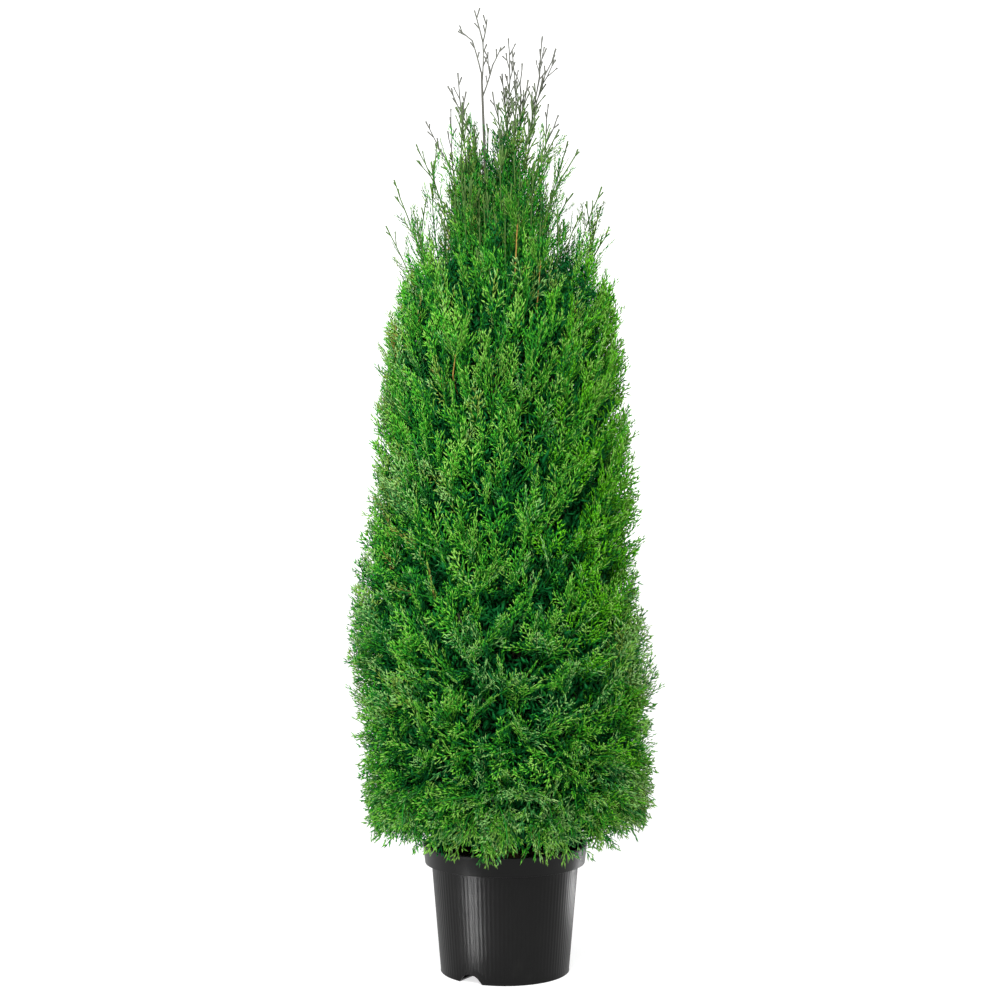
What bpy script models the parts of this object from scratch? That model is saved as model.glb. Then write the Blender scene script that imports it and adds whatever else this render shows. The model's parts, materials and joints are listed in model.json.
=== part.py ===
# A potted emerald green arborvitae, 0.54 m across and 1.64 m tall, in its round nursery pot.
# The pot stands at the origin on the floor, and the viewer looks along +Y with +X to the right.
import math
import random

import bmesh
import bpy
from mathutils import Matrix, Vector

# Clearance left between neighbouring solids
GAP = 0.0003

# Pot, turned about the vertical axis
POT_HEIGHT = 0.217
RIM_RADIUS = 0.140
RIM_BAND = 0.033
BODY_TOP_RADIUS = 0.125
FOOT_RADIUS = 0.110
FOOT_BEAD = 0.0015
WALL = 0.003
BASE_THICKNESS = 0.004
POT_STEPS = 48
NOTCH_COUNT = 2
NOTCH_WIDTH = 0.046
NOTCH_TOP_WIDTH = 0.022
NOTCH_HEIGHT = 0.0135
NOTCH_DEPTH = 0.024
NOTCH_CORNER = 0.005
NOTCH_FIRST_DEG = 238.0

# Potting mix, filled to the step under the rim band
SOIL_LEVEL = POT_HEIGHT - RIM_BAND + WALL - GAP

# Trunk, from the flat cut at the soil to the fork of the leader
TRUNK_TOP = 1.53
TRUNK_FOOT_RADIUS = 0.0135
TRUNK_TIP_RADIUS = 0.0022
FLARE = 0.008
FLARE_HEIGHT = 0.035
FLARE_LOBES = 4
FLARE_LOBE_DEPTH = 0.16
TRUNK_LEAN = -0.040
TRUNK_SIDES = 12
TRUNK_STATIONS = 18

# Crown outline: height, reach to the left and reach to the right of the pot's axis
OUTLINE = (
    (0.170, 0.215, 0.225),
    (0.290, 0.240, 0.247),
    (0.520, 0.263, 0.260),
    (0.635, 0.266, 0.224),
    (0.800, 0.228, 0.225),
    (1.075, 0.204, 0.198),
    (1.142, 0.184, 0.191),
    (1.210, 0.154, 0.158),
    (1.278, 0.122, 0.127),
    (1.347, 0.096, 0.098),
    (1.450, 0.090, 0.068),
    (1.660, 0.040, 0.030),
)
DEPTH_SHARE = 0.97

# Elevation of the sprays at heights up the crown: they hang at the skirt and stand upright at the top
SPRAY_LEAN = (
    (0.25, -72.0),
    (0.33, -30.0),
    (0.46, 12.0),
    (0.75, 40.0),
    (1.05, 56.0),
    (1.25, 72.0),
    (1.60, 84.0),
)

# Tiers of foliage: name, height of the lower edge at the outside, rise of that edge per metre of radius,
# first azimuth and the widths of the masses around the trunk, in degrees
TIERS = (
    ("skirt", 0.215, -0.10, 240.0, (60.0, 60.0, 60.0, 60.0, 60.0, 60.0)),
    ("low", 0.425, 0.30, 210.0, (60.0, 60.0, 60.0, 60.0, 60.0, 60.0)),
    ("middle", 0.670, 0.50, 206.0, (64.0, 64.0, 58.0, 58.0, 58.0, 58.0)),
    ("upper", 0.920, 0.70, 225.0, (45.0, 45.0, 70.0, 70.0, 65.0, 65.0)),
    ("plume", 1.150, 0.90, 240.0, (60.0, 80.0, 80.0, 80.0, 60.0)),
)
CROWN_TOP = 1.66
SPRAY_FLOOR = 0.178
EDGE_RADIUS = 0.22
CELL_MARGIN = 0.0015
CORE_DEPTH = 0.080
CORE_GAP = 0.0035
CORE_SQUARENESS = 7.0
CORE_FLOOR_LIFT = 0.014
CORE_TOP = 1.37
# How far the core lies inside the crown's outline: little where sprays stand upright, more where they lie flat
CORE_INSET_UPRIGHT = 0.012
CORE_INSET_FLAT = 0.047
POT_CLEARANCE = 0.006
TRUNK_CLEARANCE = 0.004

# Sprays: toothed blades, larger than life, each standing for a whole fan of scale leaves
SPRAYS_PER_DEGREE = 0.25
SPRAY_LENGTH = (0.100, 0.130)
SPRAY_SHORTEST = 0.056
SPRAY_STEP = 0.006
SPRAY_WIDTH_SHARE = 0.66
SPRAY_THICKNESS_SHARE = 0.035
# Places of the roots on the core: shares of its half width and half height, and nearness to its outer face
SPRAY_ROOT_SPREAD = (0.85, 0.82, 0.60)
SPRAY_OVERREACH = 0.010
# Rim of a blade: share of the length, share of the half width
SPRAY_RIM = ((0.0, 0.0), (0.40, -1.0), (0.50, -0.42), (1.0, 0.0), (0.50, 0.42), (0.40, 1.0))

# Stem of each mass
STEM_RADIUS = 0.0050
STEM_SHARE_OF_TRUNK = 0.75
STEM_STAGGER = 0.012
STEM_SIDES = 5

# Main boughs that show at the front: name, azimuth, foot height, tip height and tip distance from the trunk
BOUGHS = (
    ("bough_left", 225.0, 0.640, 1.015, 0.105),
    ("bough_front", 270.0, 0.600, 1.045, 0.112),
    ("bough_right", 315.0, 0.700, 1.025, 0.092),
)
BOUGH_FOOT_RADIUS = 0.0062
BOUGH_TIP_RADIUS = 0.0038
BOUGH_SIDES = 8
BOUGH_STEPS = 7
BOUGH_GROOVE = 0.0035
# Part of a quarter turn that a bough's elliptical path runs through, leaving out its flattest ends
BOUGH_TURN = (math.radians(7.0), math.radians(83.0))
# Masses whose stem goes on from a bough's tip; the others leave the trunk
CARRIERS = {"plume_1": "bough_front", "plume_2": "bough_right", "plume_5": "bough_left"}
CARRIED_STEM = 0.025

# Bare shoots that stand out of the top: the mass that carries them, then each tip's sideways place and height
SHOOTS = {
    "plume_1": ((0.026, 1.552), (0.004, 1.505)),
    "plume_2": ((0.088, 1.569), (0.090, 1.451), (0.121, 1.391), (0.162, 1.338)),
    "plume_3": ((0.064, 1.594), (0.108, 1.413), (0.179, 1.277)),
    "plume_4": ((-0.084, 1.545), (-0.191, 1.338), (-0.205, 1.277)),
    "plume_5": ((-0.097, 1.509), (-0.135, 1.456), (-0.154, 1.410)),
}
SHOOT_RADIUS = 0.0019
SHOOT_CLEAR_LENGTH = 0.10
SHOOT_DEPTH_STEP = 0.012
SIDE_TWIG = 0.045
# Twigs of the forked leader, as tips from the trunk's own tip: sideways, back and up
LEADER_TIPS = ((-0.012, 0.004, 0.107), (0.009, -0.006, 0.089), (-0.039, 0.010, 0.075), (0.033, 0.008, 0.040))
LEADER_RADIUS = 0.0019
LEADER_TIP_RADIUS = 0.0008

rng = random.Random(4226)


def clear_scene():
    for obj in list(bpy.data.objects):
        bpy.data.objects.remove(obj, do_unlink=True)


def material(name, color, roughness):
    mat = bpy.data.materials.new(name)
    mat.use_nodes = True
    shader = mat.node_tree.nodes["Principled BSDF"]
    shader.inputs["Base Color"].default_value = (*color, 1.0)
    shader.inputs["Roughness"].default_value = roughness
    shader.inputs["Metallic"].default_value = 0.0
    mat.diffuse_color = (*color, 1.0)
    return mat


def add_object(name, mesh, mat, collection):
    obj = bpy.data.objects.new(name, mesh)
    mesh.materials.clear()
    mesh.materials.append(mat)
    collection.objects.link(obj)
    return obj


def mesh_from(bm, name):
    mesh = bpy.data.meshes.new(name)
    bmesh.ops.recalc_face_normals(bm, faces=bm.faces)
    if bm.calc_volume(signed=True) < 0.0:
        bmesh.ops.reverse_faces(bm, faces=bm.faces)
    bm.to_mesh(mesh)
    bm.free()
    return mesh


# A value read between the stations of a small table whose first column is the height
def between(table, height, column):
    for low, high in zip(table, table[1:]):
        if height <= high[0]:
            share = (height - low[0]) / (high[0] - low[0])
            return low[column] + (high[column] - low[column]) * max(share, 0.0)
    return table[-1][column]


def trunk_center(z):
    share = max(z - SOIL_LEVEL, 0.0) / (TRUNK_TOP - SOIL_LEVEL)
    return Vector((TRUNK_LEAN * share**1.3, 0.0, z))


def trunk_radius(z):
    share = min(max(z - SOIL_LEVEL, 0.0) / (TRUNK_TOP - SOIL_LEVEL), 1.0)
    return TRUNK_FOOT_RADIUS + (TRUNK_TIP_RADIUS - TRUNK_FOOT_RADIUS) * share**0.85


# Distance from the trunk's centre to the crown's outline
def crown_reach(azimuth, z):
    left, right = between(OUTLINE, z, 1), between(OUTLINE, z, 2)
    side = math.cos(azimuth)
    front = 0.5 * (left + right) * DEPTH_SHARE
    edge = right if side > 0.0 else left
    return front + (edge - front) * side * side - trunk_center(z).x * side


def spray_lean(z):
    return math.radians(between(SPRAY_LEAN, z, 1))


def core_inset(z):
    return CORE_INSET_UPRIGHT + (CORE_INSET_FLAT - CORE_INSET_UPRIGHT) * math.cos(spray_lean(z)) ** 2


def around(azimuth, radius, z):
    center = trunk_center(z)
    return center + Vector((math.cos(azimuth) * radius, math.sin(azimuth) * radius, 0.0))


def polar(point):
    offset = point - trunk_center(point.z)
    return math.atan2(offset.y, offset.x), math.hypot(offset.x, offset.y)


# A limb grows ring by ring along its path, and each ring is the last one's cap drawn out and resized
def limb_bmesh(path, radii, sides, lobe=None):
    bm = bmesh.new()
    bmesh.ops.create_circle(bm, cap_ends=True, segments=sides, radius=1.0)
    cap = bm.faces[:][0]
    side_axis = Vector((1.0, 0.0, 0.0))
    for index, (center, radius) in enumerate(zip(path, radii)):
        if index:
            last = cap
            grown = bmesh.ops.extrude_face_region(bm, geom=[last])["geom"]
            cap = next(item for item in grown if isinstance(item, bmesh.types.BMFace))
            # The first cap closes the foot, and the later ones would be walls inside the limb
            if index > 1:
                bmesh.ops.delete(bm, geom=[last], context="FACES_ONLY")
        before, after = path[max(index - 1, 0)], path[min(index + 1, len(path) - 1)]
        along = (after - before).normalized()
        side_axis = (side_axis - along * side_axis.dot(along)).normalized()
        across = along.cross(side_axis)
        for step, vert in enumerate(cap.verts):
            turn = 2.0 * math.pi * step / sides
            swell = lobe(index, turn) if lobe else 1.0
            vert.co = center + (side_axis * math.cos(turn) + across * math.sin(turn)) * radius * swell
    return bm


def build_pot(collection):
    outer_at_band = POT_HEIGHT - RIM_BAND
    profile = [
        (RIM_RADIUS, POT_HEIGHT),
        (RIM_RADIUS, outer_at_band),
        (BODY_TOP_RADIUS, outer_at_band),
        (FOOT_RADIUS + FOOT_BEAD * 0.2, 0.009),
        (FOOT_RADIUS + FOOT_BEAD, 0.005),
        (FOOT_RADIUS - FOOT_BEAD, 0.0),
        (0.0, 0.0),
        (0.0, BASE_THICKNESS),
        (FOOT_RADIUS - WALL, BASE_THICKNESS),
        (BODY_TOP_RADIUS - WALL, outer_at_band + WALL),
        (RIM_RADIUS - WALL, outer_at_band + WALL),
        (RIM_RADIUS - WALL, POT_HEIGHT),
        (RIM_RADIUS, POT_HEIGHT),
    ]
    bm = bmesh.new()
    verts = [bm.verts.new((radius, 0.0, z)) for radius, z in profile[:-1]]
    for first, second in zip(verts, verts[1:] + verts[:1]):
        # The two points on the axis need no edge between them
        if first.co.x or second.co.x:
            bm.edges.new((first, second))
    mesh = bpy.data.meshes.new("pot")
    bm.to_mesh(mesh)
    bm.free()
    pot = add_object("pot", mesh, material("pot plastic", (0.030, 0.031, 0.033), 0.45), collection)
    screw = pot.modifiers.new("turn", "SCREW")
    screw.steps = screw.render_steps = POT_STEPS
    screw.use_merge_vertices = True
    screw.merge_threshold = 0.00005
    return pot


# Drain notches are cut up from the pot's lower edge, narrower and rounded at their top
def cut_notches(pot, cutters):
    for index in range(NOTCH_COUNT):
        azimuth = math.radians(NOTCH_FIRST_DEG + 360.0 * index / NOTCH_COUNT)
        bm = bmesh.new()
        bmesh.ops.create_cube(bm, size=1.0)
        for vert in bm.verts:
            top = vert.co.z > 0.0
            vert.co.x *= NOTCH_DEPTH
            vert.co.y *= NOTCH_TOP_WIDTH if top else NOTCH_WIDTH
            vert.co.z = NOTCH_HEIGHT if top else -0.001
        corners = []
        for edge in bm.edges:
            first, second = (vert.co for vert in edge.verts)
            if min(first.z, second.z) > 0.0 and abs(first.y - second.y) < 1e-6:
                corners.append(edge)
        bmesh.ops.bevel(bm, geom=corners, offset=NOTCH_CORNER, segments=3, profile=0.5, affect="EDGES")
        cutter = bpy.data.objects.new(f"notch_{index + 1}", mesh_from(bm, "notch"))
        cutter.location = (math.cos(azimuth) * FOOT_RADIUS, math.sin(azimuth) * FOOT_RADIUS, 0.0)
        cutter.rotation_euler.z = azimuth
        cutter.hide_render = True
        cutter.display_type = "WIRE"
        cutters.objects.link(cutter)
        cut = pot.modifiers.new(f"drain notch {index + 1}", "BOOLEAN")
        cut.operation = "DIFFERENCE"
        cut.object = cutter


def build_soil(collection):
    foot = FOOT_RADIUS - WALL - GAP
    top = BODY_TOP_RADIUS - WALL - GAP
    slope = (top - foot) / (SOIL_LEVEL - BASE_THICKNESS)
    bottom = BASE_THICKNESS + NOTCH_HEIGHT
    bm = bmesh.new()
    bmesh.ops.create_cone(
        bm, cap_ends=True, segments=POT_STEPS, depth=SOIL_LEVEL - bottom,
        radius1=foot + slope * (bottom - BASE_THICKNESS), radius2=top,
        matrix=Matrix.Translation((0.0, 0.0, 0.5 * (SOIL_LEVEL + bottom))),
    )
    mesh = mesh_from(bm, "soil")
    return add_object("soil", mesh, material("potting mix", (0.045, 0.028, 0.018), 0.95), collection)


# The trunk's own surface, or one that lies outside it by the margin and cuts what grows from it
def trunk_bmesh(margin=0.0):
    foot = SOIL_LEVEL + GAP
    shares = [step / (TRUNK_STATIONS - 1) for step in range(TRUNK_STATIONS)]
    heights = [foot + (TRUNK_TOP - foot) * share**1.6 for share in shares]
    path = [trunk_center(z) for z in heights]
    flare = [math.exp(-(z - foot) / FLARE_HEIGHT) for z in heights]
    radii = [trunk_radius(z) + FLARE * near + margin for z, near in zip(heights, flare)]

    def lobe(index, turn):
        return 1.0 + FLARE_LOBE_DEPTH * flare[index] * math.cos(FLARE_LOBES * turn)

    return limb_bmesh(path, radii, TRUNK_SIDES, lobe)


def build_trunk(collection, bark):
    mesh = mesh_from(trunk_bmesh(), "trunk")
    mesh.shade_smooth()
    return add_object("trunk", mesh, bark, collection)


def taper(first, last, count):
    return [first + (last - first) * step / (count - 1) for step in range(count)]


# A bough leaves the trunk sideways and turns up, so its path is nearly a quarter of an ellipse
def bough_path(azimuth, foot_z, tip_z, tip_reach):
    first, last = BOUGH_TURN
    points = []
    for turn in taper(first, last, BOUGH_STEPS):
        outward = (math.sin(turn) - math.sin(first)) / (math.sin(last) - math.sin(first))
        upward = (math.cos(first) - math.cos(turn)) / (math.cos(first) - math.cos(last))
        points.append(around(azimuth, tip_reach * outward, foot_z + (tip_z - foot_z) * upward))
    return points


def build_boughs(collection, bark):
    limbs = {}
    for name, azimuth_deg, foot_z, tip_z, tip_reach in BOUGHS:
        path = bough_path(math.radians(azimuth_deg), foot_z, tip_z, tip_reach)
        radii = taper(BOUGH_FOOT_RADIUS, BOUGH_TIP_RADIUS, len(path))
        bough = add_object(name, mesh_from(limb_bmesh(path, radii, BOUGH_SIDES), name), bark, collection)
        fuse(bough, [trunk_bmesh(GAP)], "DIFFERENCE")
        keep_largest(bough, bark)
        bough.data.shade_smooth()
        limbs[name] = (path, radii)
    return limbs


# The space of one mass: a sector of azimuth between two conical surfaces, out to the crown's outline
class Cell:
    def __init__(self, tier, number, start_deg, width_deg, low, low_rise, high, high_rise):
        self.name = f"{tier}_{number + 1}"
        # Stems of neighbouring masses leave the trunk at different heights
        self.stem_lift = STEM_STAGGER * ((number % 3) * 2 + number // 3)
        self.middle = math.radians(start_deg + width_deg / 2.0)
        self.half = math.radians(width_deg / 2.0)
        self.low, self.low_rise = low, low_rise
        self.high, self.high_rise = high, high_rise

    def floor(self, radius):
        return self.low + self.low_rise * (radius - EDGE_RADIUS)

    def ceiling(self, radius):
        return self.high + self.high_rise * (radius - EDGE_RADIUS)

    # A point of the core, from places between -1 and 1 across, up and outward
    def core_point(self, across, up, outward):
        share = 0.5 * (up + 1.0)
        azimuth = self.middle + across * self.half
        radius = EDGE_RADIUS
        for _ in range(3):
            z = self.height_at(radius, share)
            radius = crown_reach(azimuth, z) - core_inset(z) - CORE_DEPTH * 0.5 * (1.0 - outward)
        radius = max(radius, 0.026)
        gap = min(CORE_GAP / radius, 0.5 * self.half)
        azimuth = self.middle + across * (self.half - gap)
        return around(azimuth, radius, self.height_at(radius, share))

    def height_at(self, radius, share):
        floor, ceiling = self.floor(radius) + CORE_GAP, self.ceiling(radius) - CORE_GAP
        if self.low < POT_HEIGHT:
            floor += CORE_FLOOR_LIFT
        if self.high >= CROWN_TOP:
            ceiling = CORE_TOP
        return floor + (ceiling - floor) * share

    def holds(self, point):
        azimuth, radius = polar(point)
        turn = (azimuth - self.middle + math.pi) % (2.0 * math.pi) - math.pi
        if (self.half - abs(turn)) * radius < CELL_MARGIN:
            return False
        if point.z > self.ceiling(radius) - CELL_MARGIN and self.high < CROWN_TOP:
            return False
        if point.z < (SPRAY_FLOOR if self.low < POT_HEIGHT else self.floor(radius) + CELL_MARGIN):
            return False
        over_pot = math.hypot(point.x, point.y) < RIM_RADIUS + POT_CLEARANCE
        return not (over_pot and point.z < POT_HEIGHT + POT_CLEARANCE)


def make_cells():
    cells = []
    for index, (name, low, rise, start, widths) in enumerate(TIERS):
        last = index == len(TIERS) - 1
        high, high_rise = (CROWN_TOP, 0.0) if last else TIERS[index + 1][1:3]
        for number, width in enumerate(widths):
            cells.append(Cell(name, number, start, width, low, rise, high, high_rise))
            start += width
    return cells


def core_bmesh(cell):
    bm = bmesh.new()
    bmesh.ops.create_icosphere(bm, subdivisions=2, radius=1.0)
    for vert in bm.verts:
        x, y, z = vert.co.normalized()
        grow = sum(abs(part) ** CORE_SQUARENESS for part in (x, y, z)) ** (-1.0 / CORE_SQUARENESS)
        vert.co = cell.core_point(x * grow, z * grow, y * grow)
    return bm


# A spray is a flat cone whose rim is drawn into teeth
def spray_bmesh(root, along, face_normal, length):
    across = face_normal.cross(along).normalized()
    normal = along.cross(across)
    half_width = 0.5 * SPRAY_WIDTH_SHARE * length
    bm = bmesh.new()
    bmesh.ops.create_cone(bm, cap_ends=True, segments=len(SPRAY_RIM), radius1=1.0, radius2=0.0, depth=1.0)
    rim = sorted((v for v in bm.verts if v.co.z < 0.0), key=lambda v: math.atan2(v.co.y, v.co.x))
    for vert, (far, wide) in zip(rim, SPRAY_RIM):
        vert.co = root + along * (far * length) + across * (wide * half_width)
    apex = next(v for v in bm.verts if v not in rim)
    apex.co = root + along * (0.42 * length) + normal * (SPRAY_THICKNESS_SHARE * length)
    return bm


def distance_to_limb(point, path):
    nearest = 10.0
    for first, second in zip(path, path[1:]):
        step = second - first
        share = min(max((point - first).dot(step) / step.length_squared, 0.0), 1.0)
        nearest = min(nearest, (point - first - step * share).length)
    return nearest


def touches_limb(points, limbs, margin=0.0015):
    for path, radii in limbs.values():
        if any(distance_to_limb(point, path) < max(radii) + margin for point in points):
            return True
    for point in points:
        _, radius = polar(point)
        if radius < trunk_radius(point.z) + TRUNK_CLEARANCE:
            return True
    return False


def samples(bm):
    points = [vert.co.copy() for vert in bm.verts]
    points += [0.5 * (edge.verts[0].co + edge.verts[1].co) for edge in bm.edges]
    return points


# Sprays spread over the core by a seeded low-discrepancy rule, their roots sunk in it and tips at the outline
def spray_set(cell, limbs):
    count = round(math.degrees(2.0 * cell.half) * SPRAYS_PER_DEGREE)
    found, tries = [], 0
    while len(found) < count and tries < count * 6:
        tries += 1
        across = 2.0 * ((tries * 0.7548777 + 0.11) % 1.0) - 1.0
        up = 2.0 * ((tries * 0.5698403 + 0.37) % 1.0) - 1.0
        wide, tall, deep = SPRAY_ROOT_SPREAD
        root = cell.core_point(wide * across, tall * up, deep)
        azimuth, _ = polar(root)
        lean = spray_lean(root.z) + rng.uniform(-0.22, 0.22)
        heading = azimuth + rng.uniform(-0.30, 0.30)
        flat = Vector((math.cos(heading), math.sin(heading), 0.0))
        along = flat * math.cos(lean) + Vector((0.0, 0.0, math.sin(lean)))
        sideways = Vector((-math.sin(heading), math.cos(heading), 0.0))
        roll = Matrix.Rotation(rng.uniform(-1.1, 1.1), 3, along)
        length = rng.uniform(*SPRAY_LENGTH)
        while length > SPRAY_SHORTEST:
            tip_azimuth, tip_radius = polar(root + along * length)
            if tip_radius < crown_reach(tip_azimuth, root.z + along.z * length) + SPRAY_OVERREACH:
                bm = spray_bmesh(root, along, roll @ sideways, length)
                points = samples(bm)
                if all(cell.holds(point) for point in points) and not touches_limb(points, limbs):
                    found.append(bm)
                    break
                bm.free()
            length -= SPRAY_STEP
    return found


def stem_bmesh(cell, limbs):
    target = cell.core_point(0.0, -0.2, 0.0)
    azimuth, radius = polar(target)
    if cell.name in CARRIERS:
        path, radii = limbs[CARRIERS[cell.name]]
        heading = (path[-1] - path[-2]).normalized()
        start = path[-1] + heading * GAP
        bend = start + heading * CARRIED_STEM
        return limb_bmesh([start, bend, target], taper(radii[-1], 0.8 * radii[-1], 3), STEM_SIDES)
    foot_z = max(target.z - 0.8 * radius, cell.floor(0.0), SOIL_LEVEL) + cell.stem_lift + 0.015
    start = trunk_center(foot_z)
    bend = around(azimuth, 0.5 * radius, foot_z + 0.40 * (target.z - foot_z))
    thickness = min(STEM_RADIUS, STEM_SHARE_OF_TRUNK * trunk_radius(foot_z))
    return limb_bmesh([start, bend, target], taper(thickness, 0.7 * thickness, 3), STEM_SIDES)


# A shoot leans back or forward only as far as keeps it in its own mass's space
def shoot_tip(cell, side, height):
    toward = math.copysign(1.0, math.sin(cell.middle))
    for step in range(12):
        tip = Vector((side, toward * SHOOT_DEPTH_STEP * step, height))
        if cell.holds(tip):
            return tip
    return None


# Bare shoots rise out of a plume mass in one gentle bend, each with two side twigs
def shoot_set(cell):
    shoots = []
    for side, height in SHOOTS.get(cell.name, ()):
        tip = shoot_tip(cell, side, height)
        azimuth, _ = polar(tip)
        turn = (azimuth - cell.middle + math.pi) % (2.0 * math.pi) - math.pi
        rise = 2.0 * (height - SHOOT_CLEAR_LENGTH - cell.low) / (CORE_TOP - cell.low) - 1.0
        foot = cell.core_point(0.7 * turn / cell.half, min(rise, 0.8), 0.0)
        bend = foot.lerp(tip, 0.45) + Vector((0.0, 0.0, 0.012))
        shoots.append(limb_bmesh([foot, bend, tip], taper(SHOOT_RADIUS, 0.4 * SHOOT_RADIUS, 3), 3))
        for share in (0.35, 0.65):
            base = bend.lerp(tip, share)
            heading = azimuth + rng.uniform(-1.4, 1.4)
            aside = Vector((math.cos(heading) * 0.5, math.sin(heading) * 0.5, 1.0))
            end = base + aside * SIDE_TWIG * (1.3 - share)
            if cell.holds(end) and abs(end.x) < abs(side) + 0.02:
                shoots.append(limb_bmesh([base, end], taper(0.7 * SHOOT_RADIUS, 0.3 * SHOOT_RADIUS, 2), 3))
    return shoots


# Loose scraps and the skins of sealed hollows are dropped
def keep_largest(obj, mat):
    mesh = obj.data
    bm = bmesh.new()
    bm.from_mesh(mesh)
    groups, seen = [], set()
    for face in bm.faces:
        if face in seen:
            continue
        group, stack = [], [face]
        seen.add(face)
        while stack:
            here = stack.pop()
            group.append(here)
            for edge in here.edges:
                for other in edge.link_faces:
                    if other not in seen:
                        seen.add(other)
                        stack.append(other)
        groups.append(group)
    groups.sort(key=len, reverse=True)
    spare = [face for group in groups[1:] for face in group]
    bmesh.ops.delete(bm, geom=spare, context="FACES")
    bmesh.ops.triangulate(bm, faces=bm.faces)
    bm.to_mesh(mesh)
    bm.free()
    mesh.materials.clear()
    mesh.materials.append(mat)


def fuse(obj, pieces, operation):
    helpers = bpy.data.collections.new("helpers")
    bpy.context.scene.collection.children.link(helpers)
    for index, piece in enumerate(pieces):
        helpers.objects.link(bpy.data.objects.new(f"helper_{index}", mesh_from(piece, "helper")))
    join = obj.modifiers.new("join", "BOOLEAN")
    join.operation = operation
    join.operand_type = "COLLECTION"
    join.solver = "MANIFOLD"
    join.collection = helpers
    bpy.context.view_layer.update()
    depsgraph = bpy.context.evaluated_depsgraph_get()
    fused = bpy.data.meshes.new_from_object(obj.evaluated_get(depsgraph))
    obj.modifiers.remove(join)
    old = obj.data
    obj.data = fused
    bpy.data.meshes.remove(old)
    for helper in list(helpers.objects):
        bpy.data.objects.remove(helper, do_unlink=True)
    bpy.data.collections.remove(helpers)


def build_mass(cell, limbs, foliage, collection):
    mass = add_object(cell.name, mesh_from(core_bmesh(cell), cell.name), foliage, collection)
    fuse(mass, [stem_bmesh(cell, limbs), *spray_set(cell, limbs), *shoot_set(cell)], "UNION")
    carved = [trunk_bmesh(GAP)]
    if cell.high < CROWN_TOP:
        for path, radii in limbs.values():
            carved.append(limb_bmesh(path, [radius + BOUGH_GROOVE for radius in radii], BOUGH_SIDES))
    fuse(mass, carved, "DIFFERENCE")
    keep_largest(mass, foliage)
    return mass


def build_leader(collection, foliage):
    start = trunk_center(TRUNK_TOP) + Vector((0.0, 0.0, GAP))
    fork = start + Vector((0.0, 0.0, 0.018))
    highest = start + Vector(LEADER_TIPS[0])
    stem = limb_bmesh([start, fork, highest], [LEADER_RADIUS, LEADER_RADIUS, LEADER_TIP_RADIUS], STEM_SIDES)
    leader = add_object("leader_tips", mesh_from(stem, "leader_tips"), foliage, collection)
    twigs = []
    for side, back, up in LEADER_TIPS[1:]:
        tip = start + Vector((side, back, up))
        bend = fork.lerp(tip, 0.5) + Vector((0.35 * side, 0.0, -0.10 * up))
        foot = start.lerp(fork, 0.45)
        twigs.append(limb_bmesh([foot, bend, tip], taper(0.7 * LEADER_RADIUS, LEADER_TIP_RADIUS, 3), 3))
    fuse(leader, twigs, "UNION")
    keep_largest(leader, foliage)
    return leader


def main():
    clear_scene()
    plant = bpy.data.collections.new("potted arborvitae")
    cutters = bpy.data.collections.new("cutters")
    bpy.context.scene.collection.children.link(plant)
    bpy.context.scene.collection.children.link(cutters)
    bark = material("bark", (0.130, 0.075, 0.045), 0.85)
    foliage = material("foliage", (0.035, 0.130, 0.018), 0.60)
    cut_notches(build_pot(plant), cutters)
    build_soil(plant)
    build_trunk(plant, bark)
    limbs = build_boughs(plant, bark)
    for cell in make_cells():
        build_mass(cell, limbs, foliage, plant)
    build_leader(plant, foliage)


main()
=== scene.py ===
# Potted emerald green arborvitae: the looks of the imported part
import json
import math
import random

import bpy
import numpy as np
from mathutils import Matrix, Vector

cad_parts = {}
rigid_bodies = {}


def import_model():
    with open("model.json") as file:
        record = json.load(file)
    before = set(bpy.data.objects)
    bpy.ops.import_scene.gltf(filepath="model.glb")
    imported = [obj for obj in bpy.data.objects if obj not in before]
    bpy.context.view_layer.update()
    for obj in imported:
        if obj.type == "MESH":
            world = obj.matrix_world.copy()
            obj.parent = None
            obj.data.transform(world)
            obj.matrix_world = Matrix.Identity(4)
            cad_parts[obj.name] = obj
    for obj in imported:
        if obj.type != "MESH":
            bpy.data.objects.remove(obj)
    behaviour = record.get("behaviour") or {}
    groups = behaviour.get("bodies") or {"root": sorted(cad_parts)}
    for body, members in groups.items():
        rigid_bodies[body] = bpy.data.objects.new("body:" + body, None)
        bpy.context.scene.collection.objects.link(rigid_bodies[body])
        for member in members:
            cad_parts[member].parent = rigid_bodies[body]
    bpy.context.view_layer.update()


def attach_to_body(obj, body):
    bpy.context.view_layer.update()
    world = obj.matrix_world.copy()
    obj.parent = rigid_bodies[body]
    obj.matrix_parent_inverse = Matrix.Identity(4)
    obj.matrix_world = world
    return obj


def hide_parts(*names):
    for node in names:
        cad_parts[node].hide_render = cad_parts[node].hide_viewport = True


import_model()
bpy.ops.object.select_all(action="DESELECT")
dice = np.random.default_rng(4226)
twigDice = random.Random(71)

# Camera
photo = dict(lens=64.8, away=3.07, eyeHeight=0.80, aside=-0.0085)


def addCamera():
    data = bpy.data.cameras.new("photoCamera")
    data.lens = photo["lens"]
    data.sensor_width = 36.0
    data.clip_end = 200.0
    camera = bpy.data.objects.new("photoCamera", data)
    camera.location = (photo["aside"], -photo["away"], photo["eyeHeight"])
    camera.rotation_euler = (math.pi / 2, 0, 0)
    bpy.context.scene.collection.objects.link(camera)
    bpy.context.scene.camera = camera


# Materials
def linear(hexColor):
    channels = [int(hexColor[i:i + 2], 16) / 255 for i in (1, 3, 5)]
    return tuple(c / 12.92 if c <= 0.04045 else ((c + 0.055) / 1.055) ** 2.4 for c in channels) + (1.0,)


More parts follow.
